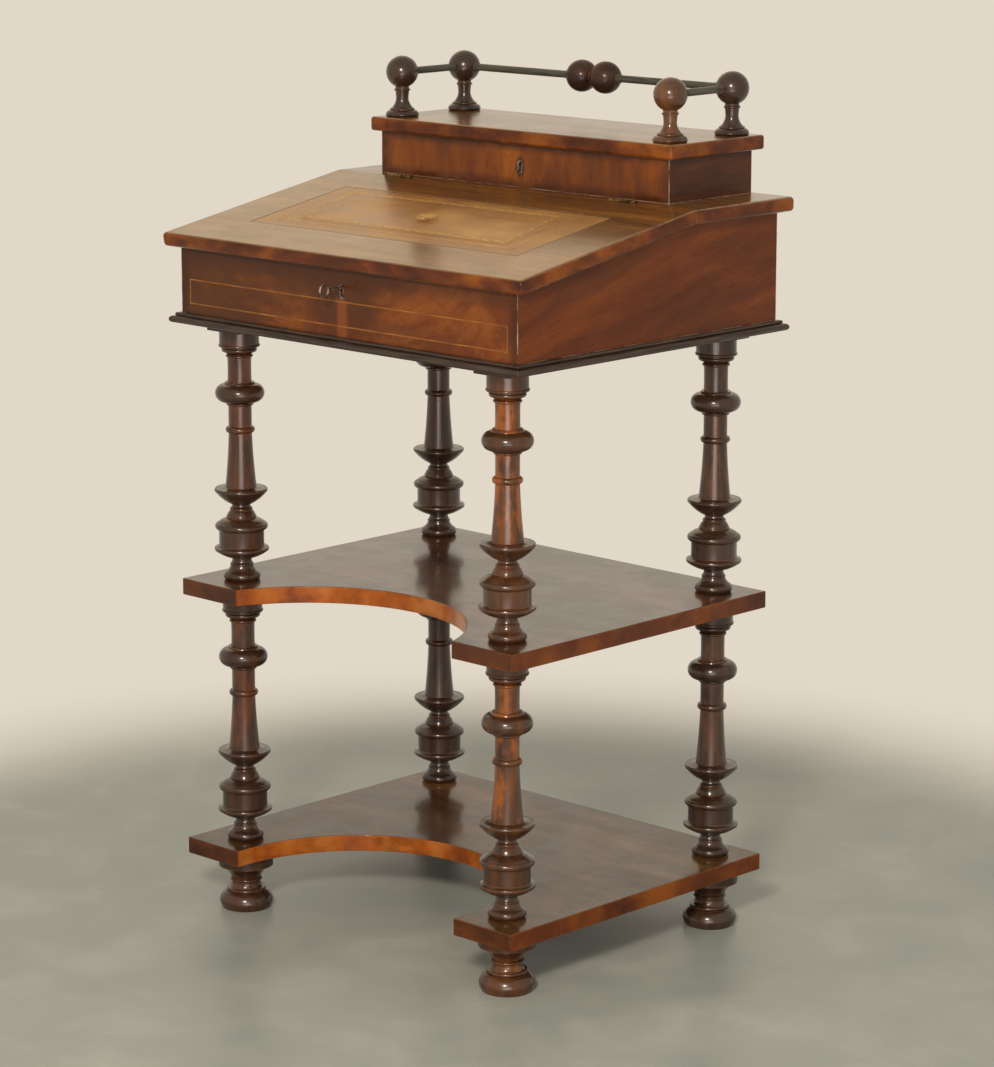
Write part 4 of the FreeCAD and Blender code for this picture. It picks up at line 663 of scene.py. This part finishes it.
frame_tree = tooling_tree()
GILT_FRAMES = (
    # name, width, depth, line, pitch, leaf; a leaf of 0 leaves the line plain
    ("gilt_outer_fillet", 0.376, 0.121, 0.7 * MM, 0.05, 0.0),
    ("gilt_inner_fillet", *INNER_FILLET, 1.2 * MM, 0.05, 0.0),
    ("gilt_inner_roll", 0.325, 0.087, 0.4 * MM, 4.2 * MM, 1.1 * MM),
)
for name, width, depth, line, pitch, leaf in GILT_FRAMES:
    piece = made_plain(name, frame_tree,
                       {"Width": width, "Depth": depth, "Line": line, "Thickness": GILT_THICKNESS,
                        "Pitch": pitch, "Leaf": leaf, "Material": GOLD})
    lay_on_skiver(piece)


def rosette_tree():
    """A hand-tooled flower: rings of pointed gilt petals round a small boss, inside a thin oval."""
    tree = bpy.data.node_groups.new("gilt_flower", "GeometryNodeTree")
    face = tree.interface
    face.new_socket("Geometry", in_out="OUTPUT", socket_type="NodeSocketGeometry")
    for name, value in (("Radius", 10 * MM), ("Petal", 3 * MM), ("Thickness", GILT_THICKNESS),
                        ("Stretch", 1.2)):
        socket = face.new_socket(name, in_out="INPUT", socket_type="NodeSocketFloat")
        socket.default_value = value
    face.new_socket("Material", in_out="INPUT", socket_type="NodeSocketMaterial")
    given = add(tree, "NodeGroupInput").outputs
    joined = add(tree, "GeometryNodeJoinGeometry")
    for count, share, size in ((14, 1.0, 0.8), (8, 0.55, 1.0)):
        reach = add(tree, "ShaderNodeMath", (given["Radius"], share), operation="MULTIPLY")
        length = add(tree, "ShaderNodeMath", (given["Petal"], size), operation="MULTIPLY")
        ring = add(tree, "GeometryNodeCurvePrimitiveCircle", {"Resolution": 56, "Radius": reach})
        spots = add(tree, "GeometryNodeCurveToPoints", {"Curve": ring, "Count": count}, mode="COUNT")
        petal = add(tree, "GeometryNodeMeshCylinder",
                    {"Vertices": 8, "Radius": length, "Depth": given["Thickness"]})
        pointed = add(tree, "GeometryNodeTransform", {"Geometry": petal, "Scale": (0.42, 1.0, 1.0)})
        turned = add(tree, "FunctionNodeAlignRotationToVector",
                     {"Vector": spots.outputs["Tangent"]}, axis="X")
        petals = add(tree, "GeometryNodeInstanceOnPoints",
                     {"Points": spots.outputs["Points"], "Instance": pointed, "Rotation": turned})
        tree.links.new(petals.outputs[0], joined.inputs[0])
    half_petal = add(tree, "ShaderNodeMath", (given["Petal"], 0.6), operation="MULTIPLY")
    boss = add(tree, "GeometryNodeMeshCylinder",
               {"Vertices": 16, "Radius": half_petal, "Depth": given["Thickness"]})
    tree.links.new(boss.outputs["Mesh"], joined.inputs[0])
    rim = add(tree, "ShaderNodeMath", (given["Radius"], given["Petal"]), operation="ADD")
    outline = add(tree, "GeometryNodeCurvePrimitiveCircle", {"Resolution": 56, "Radius": rim})
    section = add(tree, "GeometryNodeCurvePrimitiveQuadrilateral",
                  {"Width": 0.7 * MM, "Height": given["Thickness"]})
    line = add(tree, "GeometryNodeCurveToMesh",
               {"Curve": outline, "Profile Curve": section, "Fill Caps": False})
    tree.links.new(line.outputs[0], joined.inputs[0])
    real = add(tree, "GeometryNodeRealizeInstances", {"Geometry": joined})
    wide = add(tree, "ShaderNodeCombineXYZ", {"X": given["Stretch"], "Y": 1.0, "Z": 1.0})
    oval = add(tree, "GeometryNodeTransform", {"Geometry": real, "Scale": wide})
    finish = add(tree, "GeometryNodeSetMaterial", {"Geometry": oval, "Material": given["Material"]})
    add(tree, "NodeGroupOutput", {"Geometry": finish})
    return tree


flower = made_plain("gilt_flower", rosette_tree(),
                    {"Radius": 8 * MM, "Petal": 2.8 * MM, "Thickness": GILT_THICKNESS, "Stretch": 1.2,
                     "Material": GOLD})
lay_on_skiver(flower)


# ---------------------------------------------------------------- stage, lamps and camera

def make_floor():
    """A sealed pale floor: grey round the desk, cream further out, with the desk's shadow on it."""
    mesh = bpy.data.meshes.new("floor")
    half = 30.0
    corners = [(-half, -half, 0), (half, -half, 0), (half, half, 0), (-half, half, 0)]
    mesh.from_pydata(corners, [], [(0, 1, 2, 3)])
    floor = bpy.data.objects.new("floor", mesh)
    bpy.context.scene.collection.objects.link(floor)
    material, tree, shader, place = start_finish("pale_floor")
    away = add(tree, "ShaderNodeVectorMath", (place,), operation="LENGTH").outputs["Value"]
    far = add(tree, "ShaderNodeMapRange", (away, 0.72, 1.25), **SMOOTH)
    cloud = veins(tree, place, (0.16, 0.16, 0.16), detail=7.0, sway=0.4)
    near = add(tree, "ShaderNodeValToRGB", {"Fac": cloud},
               stops=((0.3, "#949b95"), (0.5, "#a1a59c"), (0.7, "#b0b2a9")))
    colour = add(tree, "ShaderNodeMix", {"Factor": far, "A": near, "B": linear("#e6ddcc")},
                 data_type="RGBA")
    wire(tree, colour, shader.inputs["Base Color"])
    wire(tree, add(tree, "ShaderNodeMapRange", (cloud, 0.3, 0.7, 0.3, 0.42), **SMOOTH),
         shader.inputs["Roughness"])
    shader.inputs["Specular IOR Level"].default_value = 0.25
    shown = add(tree, "ShaderNodeEmission", {"Color": linear(CREAM_WALL), "Strength": CREAM_GLOW})
    pale = add(tree, "ShaderNodeMath", (far, seen_rays(tree)), operation="MULTIPLY")
    mixed = add(tree, "ShaderNodeMixShader", (pale, shader, shown))
    output = next(n for n in tree.nodes if n.type == "OUTPUT_MATERIAL")
    tree.links.new(mixed.outputs[0], output.inputs["Surface"])
    mesh.materials.append(material)


def seen_rays(tree):
    """1 for rays that look at the backdrop, straight or in a gloss or glass, 0 for its light."""
    ray = add(tree, "ShaderNodeLightPath").outputs
    bounced = add(tree, "ShaderNodeMath", (ray["Is Glossy Ray"], ray["Is Transmission Ray"]),
                  operation="MAXIMUM")
    return add(tree, "ShaderNodeMath", (ray["Is Camera Ray"], bounced), operation="MAXIMUM")


def light_world():
    """An even pale room: cream to the eye and in reflections, softer as a light."""
    world = bpy.data.worlds.new("pale_room")
    bpy.context.scene.world = world
    world.use_nodes = True
    tree = world.node_tree
    tree.nodes.clear()
    soft = add(tree, "ShaderNodeBackground", {"Color": linear("#f6f1e8"), "Strength": 0.52})
    shown = add(tree, "ShaderNodeBackground", {"Color": linear(CREAM_WALL), "Strength": CREAM_GLOW})
    mixed = add(tree, "ShaderNodeMixShader", (seen_rays(tree), soft, shown))
    add(tree, "ShaderNodeOutputWorld", {"Surface": mixed})


def add_lamp(name, spot, target, size, power, tint):
    """A soft box of this size and power at spot, facing target."""
    lamp = bpy.data.lights.new(name, "AREA")
    lamp.shape = "RECTANGLE"
    lamp.size, lamp.size_y = size
    lamp.energy = power
    lamp.color = linear(tint)[:3]
    holder = bpy.data.objects.new(name, lamp)
    bpy.context.scene.collection.objects.link(holder)
    facing = (Vector(spot) - Vector(target)).to_track_quat("Z", "Y")
    holder.matrix_world = Matrix.Translation(spot) @ facing.to_matrix().to_4x4()
    holder.visible_camera = False


def set_camera():
    """Three-quarter view from the sitter's right, a little above the lid."""
    turn, rise, roll = radians(45.05), radians(11.27), radians(-0.21)
    back = Vector((sin(turn) * cos(rise), -cos(turn) * cos(rise), sin(rise)))
    right = (-back).cross(Vector((0, 0, 1))).normalized()
    up = right.cross(-back)
    side = cos(roll) * right + sin(roll) * up
    head = -sin(roll) * right + cos(roll) * up
    data = bpy.data.cameras.new("camera")
    data.lens = 123.65
    data.sensor_width = 36.0
    data.shift_x = 0.0744
    data.shift_y = -0.0572
    data.clip_end = 100.0
    holder = bpy.data.objects.new("camera", data)
    bpy.context.scene.collection.objects.link(holder)
    spot = (2.9411, -3.0218, 1.3817)
    holder.matrix_world = Matrix((*zip(side, head, back, spot), (0, 0, 0, 1)))
    bpy.context.scene.camera = holder


make_floor()
light_world()
add_lamp("key_softbox", (2.1, -3.0, 2.3), (0, 0, 0.55), (0.5, 0.5), 100, "#fff4e4")
add_lamp("front_softbox", (3.3, -3.4, 1.7), (0, 0, 0.6), (2.2, 1.8), 22, "#fff2ea")
add_lamp("low_softbox", (1.8, -1.8, 0.34), (0, 0, 0.42), (1.5, 0.5), 12, "#fff0ea")
add_lamp("window_softbox", (-2.0, 1.55, 2.1), (0, -0.08, 0.84), (2.2, 1.3), 4.4, "#ffcc78")
add_lamp("strip_softbox", (1.75, -1.75, 0.33), (0, 0, 0.42), (0.22, 0.6), 1.4, "#fff4ee")
set_camera()
bpy.context.scene.view_settings.view_transform = "Standard"
